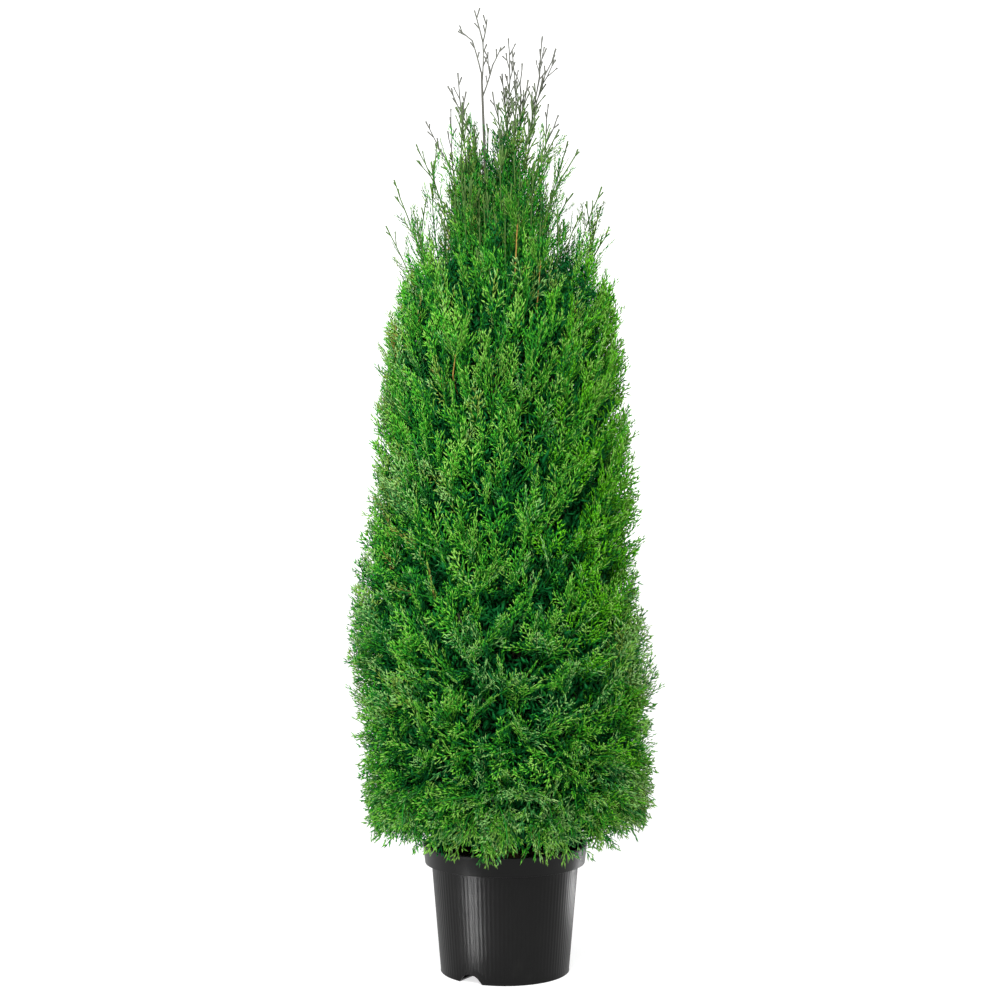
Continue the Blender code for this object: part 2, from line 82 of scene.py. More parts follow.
def addNode(tree, kind, settings=None, links=None):
    node = tree.nodes.new(kind)
    for key, value in (settings or {}).items():
        if isinstance(key, int) or key in node.inputs.keys():
            node.inputs[key].default_value = value
        else:
            setattr(node, key, value)
    for socket, source in (links or {}).items():
        tree.links.new(source, node.inputs[socket])
    return node


def newMaterial(name):
    mat = bpy.data.materials.new(name)
    mat.use_nodes = True
    tree = mat.node_tree
    return mat, tree, tree.nodes["Principled BSDF"]


def setRamp(ramp, stops):
    while len(ramp.elements) > 1:
        ramp.elements.remove(ramp.elements[-1])
    ramp.elements[0].position, ramp.elements[0].color = stops[0][0], linear(stops[0][1])
    for place, color in stops[1:]:
        ramp.elements.new(place).color = linear(color)


# Moulded black polypropylene: a soft satin gloss that catches a tall streak of light, with fine draw marks
def mouldedPlastic():
    mat, tree, shader = newMaterial("mouldedPlastic")
    place = addNode(tree, "ShaderNodeTexCoord").outputs["Object"]
    # draw marks run straight up the whole wall, 4 mm apart around it, coarser than real ones so that they show
    stretch = addNode(tree, "ShaderNodeMapping", {"Scale": (250.0, 250.0, 0.4)}, {"Vector": place})
    marks = addNode(tree, "ShaderNodeTexNoise", {"Scale": 1.0, "Detail": 3.0}, {"Vector": stretch.outputs["Vector"]})
    # dust and scuffs in patches about 40 mm across
    dust = addNode(tree, "ShaderNodeTexNoise", {"Scale": 25.0, "Detail": 6.0, "Roughness": 0.62}, {"Vector": place})
    tint = addNode(tree, "ShaderNodeValToRGB", links={"Fac": dust.outputs["Fac"]})
    setRamp(tint.color_ramp, ((0.35, "#0b0b0b"), (0.62, "#0d0d0d"), (0.80, "#141413")))
    tree.links.new(tint.outputs["Color"], shader.inputs["Base Color"])
    gloss = addNode(tree, "ShaderNodeMapRange", {"To Min": 0.38, "To Max": 0.41}, {"Value": marks.outputs["Fac"]})
    tree.links.new(gloss.outputs["Result"], shader.inputs["Roughness"])
    shader.inputs["IOR"].default_value = 1.49
    shader.inputs["Specular IOR Level"].default_value = 0.13
    return mat


# Bark: strips that peel in threads along the limb, matt, reddish brown on old wood and green on this year's twigs
def fibrousBark(name, dark, mid, light, greyFrom=None):
    mat, tree, shader = newMaterial(name)
    place = addNode(tree, "ShaderNodeTexCoord").outputs["Object"]
    # threads about 2 mm wide and 40 mm long
    stretch = addNode(tree, "ShaderNodeMapping", {"Scale": (480.0, 480.0, 26.0)}, {"Vector": place})
    grain = {"Scale": 1.0, "Detail": 7.0, "Roughness": 0.65}
    threads = addNode(tree, "ShaderNodeTexNoise", grain, {"Vector": stretch.outputs["Vector"]})
    tint = addNode(tree, "ShaderNodeValToRGB", links={"Fac": threads.outputs["Fac"]})
    setRamp(tint.color_ramp, ((0.30, dark), (0.52, mid), (0.74, light)))
    color = tint.outputs["Color"]
    if greyFrom:
        # the bark turns grey green over 120 mm of height
        apart = addNode(tree, "ShaderNodeSeparateXYZ", links={"Vector": place})
        span = {"From Min": greyFrom, "From Max": greyFrom + 0.12}
        young = addNode(tree, "ShaderNodeMapRange", span, {"Value": apart.outputs["Z"]})
        blend = addNode(tree, "ShaderNodeMix", {"data_type": "RGBA"}, {0: young.outputs["Result"], 6: color})
        blend.inputs[7].default_value = linear("#4a4a42")
        color = blend.outputs[2]
    tree.links.new(color, shader.inputs["Base Color"])
    bump = addNode(tree, "ShaderNodeBump", {"Strength": 0.8, "Distance": 0.0008}, {"Height": threads.outputs["Fac"]})
    tree.links.new(bump.outputs["Normal"], shader.inputs["Normal"])
    shader.inputs["Roughness"].default_value = 0.85
    return mat


# Potting mix: moist peat with fine bark, nearly black in the hollows and fibrous brown on top
def moistMix(name, dark, light):
    mat, tree, shader = newMaterial(name)
    place = addNode(tree, "ShaderNodeTexCoord").outputs["Object"]
    # crumbs about 3 mm across
    crumbs = addNode(tree, "ShaderNodeTexNoise", {"Scale": 320.0, "Detail": 8.0, "Roughness": 0.7}, {"Vector": place})
    tint = addNode(tree, "ShaderNodeValToRGB", links={"Fac": crumbs.outputs["Fac"]})
    setRamp(tint.color_ramp, ((0.35, dark), (0.70, light)))
    tree.links.new(tint.outputs["Color"], shader.inputs["Base Color"])
    bump = addNode(tree, "ShaderNodeBump", {"Strength": 0.9, "Distance": 0.0015}, {"Height": crumbs.outputs["Fac"]})
    tree.links.new(bump.outputs["Normal"], shader.inputs["Normal"])
    shader.inputs["Roughness"].default_value = 0.9
    return mat


# Scale leaves: a thin waxy skin, plain in colour, whose light and shade come from thousands of facets, with the shade
# deeper in the bush also painted in as darker tones
leafTones = dict(
    heart="#0c5c28", shade="#237822", leaf="#3c9622", lime="#5cb21a", fresh="#66b036", bright="#7eb44c",
    blue="#408442", olive="#7a9c40", pale="#8cb46a", mist="#7cb060", bronze="#7c7438", twig="#4e7030",
)
# each tone with the three below it and the two above it: the steps down are painted shade on leaves deep in the bush,
# the steps up make the tips lighter, partly as new growth and partly as painted highlight
ladder = dict(
    heart=("heart", "heart", "heart", "heart", "shade", "leaf"),
    shade=("heart", "heart", "heart", "shade", "leaf", "fresh"),
    leaf=("heart", "heart", "shade", "leaf", "fresh", "bright"),
    fresh=("heart", "shade", "leaf", "fresh", "bright", "bright"),
    lime=("heart", "shade", "leaf", "lime", "lime", "bright"),
    bright=("shade", "leaf", "fresh", "bright", "bright", "bright"),
    blue=("heart", "heart", "shade", "blue", "mist", "mist"),
    mist=("heart", "shade", "blue", "blue", "mist", "pale"),
    olive=("heart", "shade", "shade", "olive", "mist", "pale"),
    pale=("shade", "leaf", "olive", "pale", "pale", "pale"),
    bronze=("heart", "shade", "shade", "bronze", "olive", "pale"),
    twig=("heart", "shade", "shade", "twig", "olive", "olive"),
)


def waxyLeaf(tone):
    mat, tree, shader = newMaterial("waxyLeaf_" + tone)
    shader.inputs["Base Color"].default_value = linear(leafTones[tone])
    shader.inputs["Roughness"].default_value = 0.55
    shader.inputs["IOR"].default_value = 1.42
    shader.inputs["Specular IOR Level"].default_value = 0.10
    return mat


# Meshes from arrays
def meshPiece(name, points, triangles, mat, smooth=False):
    mesh = bpy.data.meshes.new(name)
    count = len(triangles)
    mesh.vertices.add(len(points))
    mesh.vertices.foreach_set("co", np.ascontiguousarray(points, np.float32).ravel())
    mesh.loops.add(count * 3)
    mesh.loops.foreach_set("vertex_index", np.ascontiguousarray(triangles, np.int32).ravel())
    mesh.polygons.add(count)
    mesh.polygons.foreach_set("loop_start", np.arange(0, count * 3, 3, dtype=np.int32))
    mesh.update(calc_edges=True)
    mesh.validate()
    if smooth:
        mesh.shade_smooth()
    piece = bpy.data.objects.new(name, mesh)
    mesh.materials.append(mat)
    bpy.context.scene.collection.objects.link(piece)
    return piece


def settle(piece, slot, *nodes):
    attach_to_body(piece, "root")
    if nodes:
        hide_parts(*nodes)
    return piece


# The bush's form, by the same rule as the solids
crown = dict(
    soil=0.1867, trunkTop=1.53, lean=-0.040, leanPower=1.3, footRadius=0.0135, tipRadius=0.0015, taperPower=0.85,
    depth=0.97,
)
# height, reach to the left and reach to the right of the pot's axis
outline = np.array((
    (0.170, 0.215, 0.225), (0.290, 0.240, 0.247), (0.520, 0.263, 0.260), (0.635, 0.266, 0.224), (0.800, 0.228, 0.225),
    (1.075, 0.204, 0.198), (1.142, 0.184, 0.191), (1.210, 0.154, 0.158), (1.278, 0.122, 0.127), (1.347, 0.096, 0.098),
    (1.450, 0.090, 0.068), (1.660, 0.040, 0.030),
))
# height, and how steeply the sprays stand there in degrees
sprayLean = np.array((
    (0.25, -72.0), (0.33, -30.0), (0.46, 12.0), (0.75, 40.0), (1.05, 56.0), (1.25, 72.0), (1.60, 84.0),
))


def trunkShift(z):
    share = np.clip((z - crown["soil"]) / (crown["trunkTop"] - crown["soil"]), 0, None)
    return crown["lean"] * share ** crown["leanPower"]


def trunkRadius(z):
    share = np.clip((z - crown["soil"]) / (crown["trunkTop"] - crown["soil"]), 0, 1)
    return crown["footRadius"] + (crown["tipRadius"] - crown["footRadius"]) * share ** crown["taperPower"]


def crownReach(azimuth, z):
    left = np.interp(z, outline[:, 0], outline[:, 1])
    right = np.interp(z, outline[:, 0], outline[:, 2])
    side = np.cos(azimuth)
    front = 0.5 * (left + right) * crown["depth"]
    edge = np.where(side > 0, right, left)
    return front + (edge - front) * side ** 2 - trunkShift(z) * side


def leanAt(z):
    return np.radians(np.interp(z, sprayLean[:, 0], sprayLean[:, 1]))


def around(azimuth, radius, z):
    return np.stack((trunkShift(z) + np.cos(azimuth) * radius, np.sin(azimuth) * radius, z + 0 * radius), -1)


# Tubes for twigs, as arrays
class TubeBin:
    def __init__(self):
        self.points, self.triangles, self.count = [], [], 0

    def add(self, path, radii, sides):
        path, radii = np.asarray(path, float), np.asarray(radii, float)
        along = np.gradient(path, axis=0)
        along /= np.linalg.norm(along, axis=1, keepdims=True)
        side = np.cross(along, (0.31, 0.83, 0.46))  # a slanting way that no twig runs along
        side /= np.linalg.norm(side, axis=1, keepdims=True)
        over = np.cross(along, side)
        turn = np.arange(sides) * 2 * math.pi / sides
        spoke = side[:, None] * np.cos(turn)[None, :, None] + over[:, None] * np.sin(turn)[None, :, None]
        rings = path[:, None] + radii[:, None, None] * spoke
        steps = len(path)
        index = np.arange(steps * sides).reshape(steps, sides)
        here, right = index[:-1], np.roll(index, -1, 1)[:-1]
        above, aboveRight = index[1:], np.roll(index, -1, 1)[1:]
        walls = np.concatenate((
            np.stack((here, right, aboveRight), -1).reshape(-1, 3),
            np.stack((here, aboveRight, above), -1).reshape(-1, 3),
        ))
        # the first and last centre points close the ends
        foot, tip = steps * sides, steps * sides + 1
        ends = np.concatenate((
            np.stack((np.full(sides, foot), np.roll(index[0], -1), index[0]), -1),
            np.stack((np.full(sides, tip), index[-1], np.roll(index[-1], -1)), -1),
        ))
        self.points.append(np.concatenate((rings.reshape(-1, 3), path[:1], path[-1:])))
        self.triangles.append(np.concatenate((walls, ends)) + self.count)
        self.count += steps * sides + 2

    def piece(self, name, mat):
        return meshPiece(name, np.concatenate(self.points), np.concatenate(self.triangles), mat, smooth=True)


def curve(start, bend, end, steps):
    t = np.linspace(0, 1, steps)[:, None]
    return (1 - t) ** 2 * np.asarray(start) + 2 * t * (1 - t) * np.asarray(bend) + t ** 2 * np.asarray(end)


def unit(way):
    return way / np.linalg.norm(way)


def pointOn(path, share):
    return np.array([np.interp(share, np.linspace(0, 1, len(path)), path[:, axis]) for axis in range(3)])


goldenTurn = 2.399963  # radians from one frond or shoot to the next in a spiral without rows


# Pot, turned ring by ring and fluted
pot = dict(
    height=0.217, rim=0.140, band=0.033, bodyTop=0.125, foot=0.110, bodyLow=0.010, lip=0.0012, wall=0.003, base=0.004,
    centre=0.004, flutes=104, fluteDepth=0.00045, smoothBelow=28.0,
)
notch = dict(
    count=2, firstTurn=238.0, width=0.046, topWidth=0.022, height=0.0135, length=0.060, inset=0.022, corner=0.005,
    below=0.001,
)


def makeActive(piece):
    bpy.ops.object.select_all(action="DESELECT")
    bpy.context.view_layer.objects.active = piece
    piece.select_set(True)


def startEdit(piece):
    makeActive(piece)
    bpy.ops.object.mode_set(mode="EDIT")


def endEdit():
    bpy.ops.object.mode_set(mode="OBJECT")


def faceOutward():
    bpy.ops.mesh.select_all(action="SELECT")
    bpy.ops.mesh.normals_make_consistent(inside=False)


def dress(piece, mat):
    piece.data.materials.clear()
    piece.data.materials.append(mat)


# A small model becomes arrays of points and faces, to be copied many times
def takeArrays(piece):
    points = np.array([v.co for v in piece.data.vertices])
    faces = np.array([tuple(f.vertices) for f in piece.data.polygons])
    bpy.data.objects.remove(piece, do_unlink=True)
    return points, faces


# Each profile point is the last ring drawn out and resized
def turnProfile(name, profile, columns):
    radius, z = profile[0]
    bpy.ops.mesh.primitive_circle_add(vertices=columns, radius=radius, fill_type="NGON", location=(0, 0, z))
    piece = bpy.context.object
    piece.name = piece.data.name = name
    startEdit(piece)
    bpy.ops.mesh.select_all(action="SELECT")
    for (lastRadius, lastZ), (radius, z) in zip(profile, profile[1:]):
        bpy.ops.mesh.extrude_region_move(TRANSFORM_OT_translate={"value": (0, 0, z - lastZ)})
        bpy.ops.transform.resize(value=(radius / lastRadius, radius / lastRadius, 1))
    faceOutward()
    endEdit()
    bpy.ops.object.transform_apply(location=True, rotation=True, scale=True)
    return piece


def pickVertices(piece, test):
    startEdit(piece)
    bpy.ops.mesh.select_mode(type="VERT")
    bpy.ops.mesh.select_all(action="DESELECT")
    endEdit()
    for vert in piece.data.vertices:
        vert.select = test(vert.co)
    bpy.ops.object.mode_set(mode="EDIT")


def applyAll(piece):
    makeActive(piece)
    for mod in list(piece.modifiers):
        bpy.ops.object.modifier_apply(modifier=mod.name)


def potProfile(bodyRadius):
    p = pot
    foot, rim, wall, base, lip, height = p["foot"], p["rim"], p["wall"], p["base"], p["lip"], p["height"]
    shoulder = height - p["band"]
    outside = [(p["centre"], 0.0), (foot - 0.004, 0.0), (foot - 0.0012, 0.0), (foot - 0.0003, 0.0008)]
    heights = (0.0030, 0.012, 0.05, 0.10, 0.15, shoulder - 0.006, shoulder - 0.002, shoulder)
    outside += [(bodyRadius(z), z) for z in heights]
    band = [
        (rim - 0.0046, shoulder), (rim - 0.0041, shoulder + 0.0002), (rim - 0.0039, shoulder + 0.0007),
        (rim - 0.0006, height - 0.0060), (rim, height - 0.0048), (rim, height - lip), (rim - lip, height),
        (rim - wall, height), (rim - wall - lip, height - lip), (rim - 0.0020 - wall - 0.001, shoulder + wall + 0.002),
    ]
    inside = [
        (p["bodyTop"] - wall + 0.002, shoulder + wall), (p["bodyTop"] - wall, shoulder), (foot - wall, base),
        (p["centre"], base),
    ]
    return outside + band + inside


# A drain notch is cut by a block, narrowed at the top with rounded corners
def notchBlock(turn):
    low = notch["below"] / 2
    bpy.ops.mesh.primitive_cube_add(size=1, location=(0, 0, notch["height"] / 2 - low))
    block = bpy.context.object
    block.scale = (notch["length"], notch["width"], notch["height"] + notch["below"])
    bpy.ops.object.transform_apply(location=True, rotation=False, scale=True)
    pickVertices(block, lambda place: place.z > 0)
    bpy.ops.transform.resize(value=(1, notch["topWidth"] / notch["width"], 1))
    bpy.ops.mesh.select_mode(type="EDGE")
    endEdit()
    for edge in block.data.edges:
        ends = [block.data.vertices[i].co for i in edge.vertices]
        edge.select = all(end.z > 0 for end in ends) and abs(ends[0].y - ends[1].y) < 1e-6
    bpy.ops.object.mode_set(mode="EDIT")
    bpy.ops.mesh.bevel(offset=notch["corner"], segments=4)
    faceOutward()
    endEdit()
    reach = pot["foot"] - notch["inset"]
    block.rotation_euler.z = turn
    block.location = (math.cos(turn) * reach, math.sin(turn) * reach, 0)
    return block


def buildPot(mat):
    shoulder = pot["height"] - pot["band"]
    low = pot["bodyLow"]
    columns = pot["flutes"] * 4

    def bodyRadius(z):
        return pot["foot"] + (pot["bodyTop"] - pot["foot"]) * (z - low) / (shoulder - low)

    piece = turnProfile("pot_moulded", potProfile(bodyRadius), columns)

    # every fourth column sinks in to make the flutes
    def inFlute(place):
        column = round(math.atan2(place.y, place.x) / (2 * math.pi / columns)) % 4
        outer = math.hypot(place.x, place.y) > bodyRadius(place.z) - 0.0005
        return column == 0 and outer and low < place.z < shoulder - 0.004

    pickVertices(piece, inFlute)
    sink = 1 - pot["fluteDepth"] / pot["bodyTop"]
    bpy.ops.transform.resize(value=(sink, sink, 1))
    endEdit()
    for index in range(notch["count"]):
        block = notchBlock(math.radians(notch["firstTurn"] + 360 * index / notch["count"]))
        cut = piece.modifiers.new("notch", "BOOLEAN")
        cut.operation, cut.object, cut.solver = "DIFFERENCE", block, "EXACT"
        applyAll(piece)
        bpy.data.objects.remove(block, do_unlink=True)
    makeActive(piece)
    bpy.ops.object.shade_smooth_by_angle(angle=math.radians(pot["smoothBelow"]))
    dress(piece, mat)
    settle(piece, "pot_plastic", "pot")


# Potting mix: a heaped disc, with loose bark chips on it
soil = dict(
    level=0.1867, floor=0.0175, rings=26, columns=120, lump=0.0022, crumb=0.011, smoothBelow=50.0,
    chips=420, chipSize=(0.004, 0.011), chipWidth=0.5, chipThickness=0.28, chipTilt=0.25, clearOfPot=0.008,
    clearOfTrunk=0.024,
)


def buildSoil(mat, chipMat):
    top = pot["bodyTop"] - pot["wall"] - 0.0012
    low = pot["foot"] - pot["wall"] - 0.0006
    centre, rings, level = 0.003, soil["rings"], soil["level"]
    profile = [(centre, soil["floor"]), (low, soil["floor"]), (top, level - 0.0025)]
    profile += [(top + (centre - top) * i / rings, level - 0.0015) for i in range(1, rings + 1)]
    piece = turnProfile("soil_heap", profile, soil["columns"])
    heap = piece.vertex_groups.new(name="heap")
    heap.add([v.index for v in piece.data.vertices if v.co.z > level - 0.002], 1.0, "REPLACE")
    clouds = bpy.data.textures.new("crumbs", "CLOUDS")
    clouds.noise_scale, clouds.noise_depth = soil["crumb"], 4
    lift = piece.modifiers.new("lumps", "DISPLACE")
    lift.texture, lift.direction, lift.strength, lift.mid_level = clouds, "Z", soil["lump"] * 2, 0.5
    lift.vertex_group = "heap"
    applyAll(piece)
    bpy.ops.object.shade_smooth_by_angle(angle=math.radians(soil["smoothBelow"]))
    dress(piece, mat)
    settle(piece, "potting_mix", "soil")
    scatterChips(chipMat, top)


# One chip is modelled and copied as arrays
def scatterChips(mat, top):
    bpy.ops.mesh.primitive_cube_add(size=1)
    chip = bpy.context.object
    pickVertices(chip, lambda place: place.y > 0)
    bpy.ops.transform.resize(value=(0.55, 1, 0.45))
    bpy.ops.mesh.select_all(action="SELECT")
    bpy.ops.mesh.quads_convert_to_tris()
    endEdit()
    shape, faces = takeArrays(chip)
    points, triangles = [], []
    for i in range(soil["chips"]):
        reach = (top - soil["clearOfPot"]) * math.sqrt(dice.random())
        turn, spin = dice.random() * 6.283, dice.random() * 6.283
        size = dice.uniform(*soil["chipSize"])
        local = shape * (size * soil["chipWidth"], size, size * soil["chipThickness"])
        tilt = dice.normal(0, soil["chipTilt"])
        c, s, ct, st = math.cos(spin), math.sin(spin), math.cos(tilt), math.sin(tilt)
        turned = local @ np.array(((c, s, 0), (-s, c, 0), (0, 0, 1)))
        turned = turned @ np.array(((1, 0, 0), (0, ct, st), (0, -st, ct)))
        if reach > soil["clearOfTrunk"]:
            points.append(turned + (math.cos(turn) * reach, math.sin(turn) * reach, soil["level"] + 0.0002))
            triangles.append(faces + 8 * len(triangles))
    settle(meshPiece("soil_chips", np.concatenate(points), np.concatenate(triangles), mat), "potting_mix")


# Trunk and boughs: bevelled curves made mesh, with stringy relief
limbs = dict(
    # azimuth, height of the foot and of the tip, and the tip's reach
    boughs=(("bough_left", 225.0, 0.640, 1.015, 0.105), ("bough_front", 270.0, 0.600, 1.045, 0.112),
            ("bough_right", 315.0, 0.700, 1.025, 0.092)),
    boughFoot=0.0062, boughTip=0.0038, boughTurn=(7, 83), boughSteps=90, trunkSteps=300,
    flare=0.008, flareHeight=0.035, flareLobes=4, flareDepth=0.16, strings=9, stringDepth=0.075, wander=2.4,
)


def boughPath(azimuth, footZ, tipZ, tipReach, steps):
    first, last = limbs["boughTurn"]
    turn = np.linspace(math.radians(first), math.radians(last), steps)
    outward = (np.sin(turn) - np.sin(turn[0])) / (np.sin(turn[-1]) - np.sin(turn[0]))
    upward = (np.cos(turn[0]) - np.cos(turn)) / (np.cos(turn[0]) - np.cos(turn[-1]))
    z = footZ + (tipZ - footZ) * upward
    reach = tipReach * outward
    return np.stack((trunkShift(z) + math.cos(azimuth) * reach, math.sin(azimuth) * reach, z), -1)


def limbMesh(name, path, radii, mat, resolution, flared=False):
    data = bpy.data.curves.new(name, "CURVE")
    data.dimensions = "3D"
    data.bevel_depth, data.bevel_resolution, data.use_fill_caps = 1.0, resolution, True
    spline = data.splines.new("POLY")
    spline.points.add(len(path) - 1)
    spline.points.foreach_set("co", np.column_stack((path, np.ones(len(path)))).astype(np.float32).ravel())
    spline.points.foreach_set("radius", np.asarray(radii, np.float32))
    piece = bpy.data.objects.new(name, data)
    bpy.context.scene.collection.objects.link(piece)
    makeActive(piece)
    bpy.ops.object.convert(target="MESH")
    startEdit(piece)
    bpy.ops.mesh.select_all(action="SELECT")
    bpy.ops.mesh.remove_doubles(threshold=0.00001)
    faceOutward()
    endEdit()
    # strings of bark wander round the limb as they climb
    spots = np.empty(len(piece.data.vertices) * 3, np.float32)
    piece.data.vertices.foreach_get("co", spots)
    spots = spots.reshape(-1, 3).astype(float)
    inPlan = ((spots[:, None, ::2] - path[None, :, ::2]) ** 2).sum(-1)
    nearest = np.argmin(inPlan + (spots[:, None, 1] - path[None, :, 1]) ** 2, 1)
    offset = spots - path[nearest]
    turn = np.arctan2(offset[:, 1], offset[:, 0])
    climb = nearest / len(path) * 40
    strings = np.zeros(len(spots))
    for count in (limbs["strings"], limbs["strings"] + 4, limbs["strings"] * 2 + 1):
        sway = limbs["wander"] * np.sin(climb * dice.uniform(0.5, 1.1) + dice.uniform(0, 6))
        strings += np.sin(count * turn + sway + dice.uniform(0, 6))
    swell = 1 + limbs["stringDepth"] * strings / 2
    if flared:
        near = np.exp(-(spots[:, 2] - crown["soil"]) / limbs["flareHeight"])
        swell *= 1 + limbs["flareDepth"] * near * np.cos(limbs["flareLobes"] * turn)
    ends = (nearest == 0) | (nearest == len(path) - 1)
    spots = path[nearest] + offset * np.where(ends & ~flared, 1, swell)[:, None]
    piece.data.vertices.foreach_set("co", spots.astype(np.float32).ravel())
    piece.data.update()
    piece.data.shade_smooth()
    dress(piece, mat)
    return piece


def buildLimbs(mat):
    # the trunk's stations stand closer together at its flared foot
    z = crown["soil"] + (crown["trunkTop"] - crown["soil"]) * np.linspace(0, 1, limbs["trunkSteps"]) ** 1.3
    path = np.stack((trunkShift(z), 0 * z, z), -1)
    radii = trunkRadius(z) + limbs["flare"] * np.exp(-(z - crown["soil"]) / limbs["flareHeight"])
    settle(limbMesh("trunk_bark", path, radii, mat, 12, True), "bark", "trunk")
    for name, azimuth, footZ, tipZ, tipReach in limbs["boughs"]:
        path = boughPath(math.radians(azimuth), footZ, tipZ, tipReach, limbs["boughSteps"])[1:]
        radii = np.linspace(limbs["boughFoot"], limbs["boughTip"], len(path))
        settle(limbMesh(name + "_bark", path, radii, mat, 8), "bark", name)


# One scale leaf: a cone of three sides drawn into a keeled blade, root at 0 and tip at 1 along Y
def leafBlade():
    bpy.ops.mesh.primitive_cone_add(vertices=3, radius1=1, radius2=0, depth=1)
    leaf = bpy.context.object
    for vert, place in zip(leaf.data.vertices, ((0, 0, 0.5), (-0.5, 0.42, -0.5), (0.5, 0.42, -0.5), (0, 1, 0.35))):
        vert.co = place
    startEdit(leaf)
    faceOutward()
    bpy.ops.mesh.quads_convert_to_tris()
    endEdit()
    return takeArrays(leaf)


# Sprays: flat ferny fans of scale leaves. Each blade is root, direction, length, width and place in the spray
blade = dict(length=0.0142, width=0.0027, thickness=0.0011, overlap=0.78, turn=0.10, roll=0.22, jitter=0.0009)
fan = dict(
    variants=16, length=0.054, lengths=(0.85, 1.15), longestSide=0.0215, sideAngle=42.0, forked=0.6, width=1.0,
    sideStep=0.0066, sideSteps=(0.85, 1.2), firstSide=(0.10, 0.16), lastSide=0.93, sideLengths=(0.8, 1.15),
    angleNoise=6, droop=(2, 6), forkAngle=(30, 45), forkLength=(0.75, 1.0), wander=0.12,
)
# narrow sprays for the upright shoots
slimFan = dict(
    fan, variants=8, length=0.060, lengths=(0.85, 1.2), longestSide=0.024, sideAngle=26.04, forked=0.21, width=0.72,
)


def sprayTemplate(rng, kind):
    length = kind["length"] * rng.uniform(*kind["lengths"])
    width = blade["width"] * kind["width"]
    step = blade["length"] * blade["overlap"]
    short = 0.002  # a branchlet ends this near to its full reach
    wander = rng.uniform(-kind["wander"], kind["wander"])
    blades, groups = [], []

    def axisAt(y):
        return np.array((wander * y * (1 - y / length) * 0.9, y))

    def run(start, angle, reach, droop, isBranchlet, side, group):
        done, place = 0.0, start.copy()
        turned = angle
        while done < reach - short:
            size = min(blade["length"], reach - done + 0.003)
            turned += droop
            way = np.array((math.sin(turned), math.cos(turned)))
            last = done + step >= reach - short
            blades.append((place[0], place[1], turned, size, width, last))
            groups.append(group)
            place = place + way * step
            done += step
            # little forks on either side of each branchlet
            if isBranchlet and not last and done > step * 0.5 and rng.random() < kind["forked"]:
                turn = math.radians(rng.uniform(*kind["forkAngle"]))
                fork = turned + side * turn * (1 if rng.random() < 0.5 else -1)
                blades.append((place[0], place[1], fork, size * rng.uniform(*kind["forkLength"]), width * 0.85, True))
                groups.append(group)

    run(np.array((0.0, 0.0)), 0.0, length, 0.0, False, 1, 0)
    for index in range(len(blades)):
        x, y = axisAt(blades[index][1])
        blades[index] = (x, y) + blades[index][2:]
    side = 1
    y = length * rng.uniform(*kind["firstSide"])
    while y < length * kind["lastSide"]:
        share = y / length
        # the branchlets are longest below the middle and shorten to the tip
        swell = 0.35 + 0.65 * math.sin(math.pi * min(0.22 + share * 0.72, 1))
        reach = kind["longestSide"] * swell * (1 - 0.35 * share)
        reach *= rng.uniform(*kind["sideLengths"])
        noise = rng.uniform(-kind["angleNoise"], kind["angleNoise"])
        angle = math.radians(kind["sideAngle"] * (1 - 0.25 * share) + noise)
        droop = -side * math.radians(rng.uniform(*kind["droop"]))
        run(axisAt(y), side * angle, reach, droop, True, side, groups[-1] + 1)
        side = -side
        y += kind["sideStep"] * rng.uniform(*kind["sideSteps"])
    return np.column_stack((blades, groups)).astype(float)


def templatePoints(blades, corners, rng):
    x, y, turned, length, width = blades.T[:5]
    along = np.stack((np.sin(turned), np.cos(turned), rng.normal(0, blade["turn"], len(blades))), -1)
    across = np.stack((np.cos(turned), -np.sin(turned), rng.normal(0, blade["roll"], len(blades))), -1)
    face = np.cross(across, along)
    root = np.stack((x, y, rng.normal(0, blade["jitter"], len(blades))), -1)
    local = (
        across[:, None] * (corners[None, :, 0] * width[:, None])[..., None]
        + along[:, None] * (corners[None, :, 1] * length[:, None])[..., None]
        + face[:, None] * (corners[None, :, 2] * blade["thickness"])[..., None]
    )
    return root[:, None] + local


# Foliage is gathered as blades by tone, and each tone becomes one piece or more
# shading steps each blade's tone: at random by twiglet, up at the tips, and down with depth below the bush's face as
# painted shade
shading = dict(twigletNoise=0.80, tipLift=0.7, outerShare=0.3, faceDepth=0.004, shadeDepth=0.028, steps=(-3, 2))


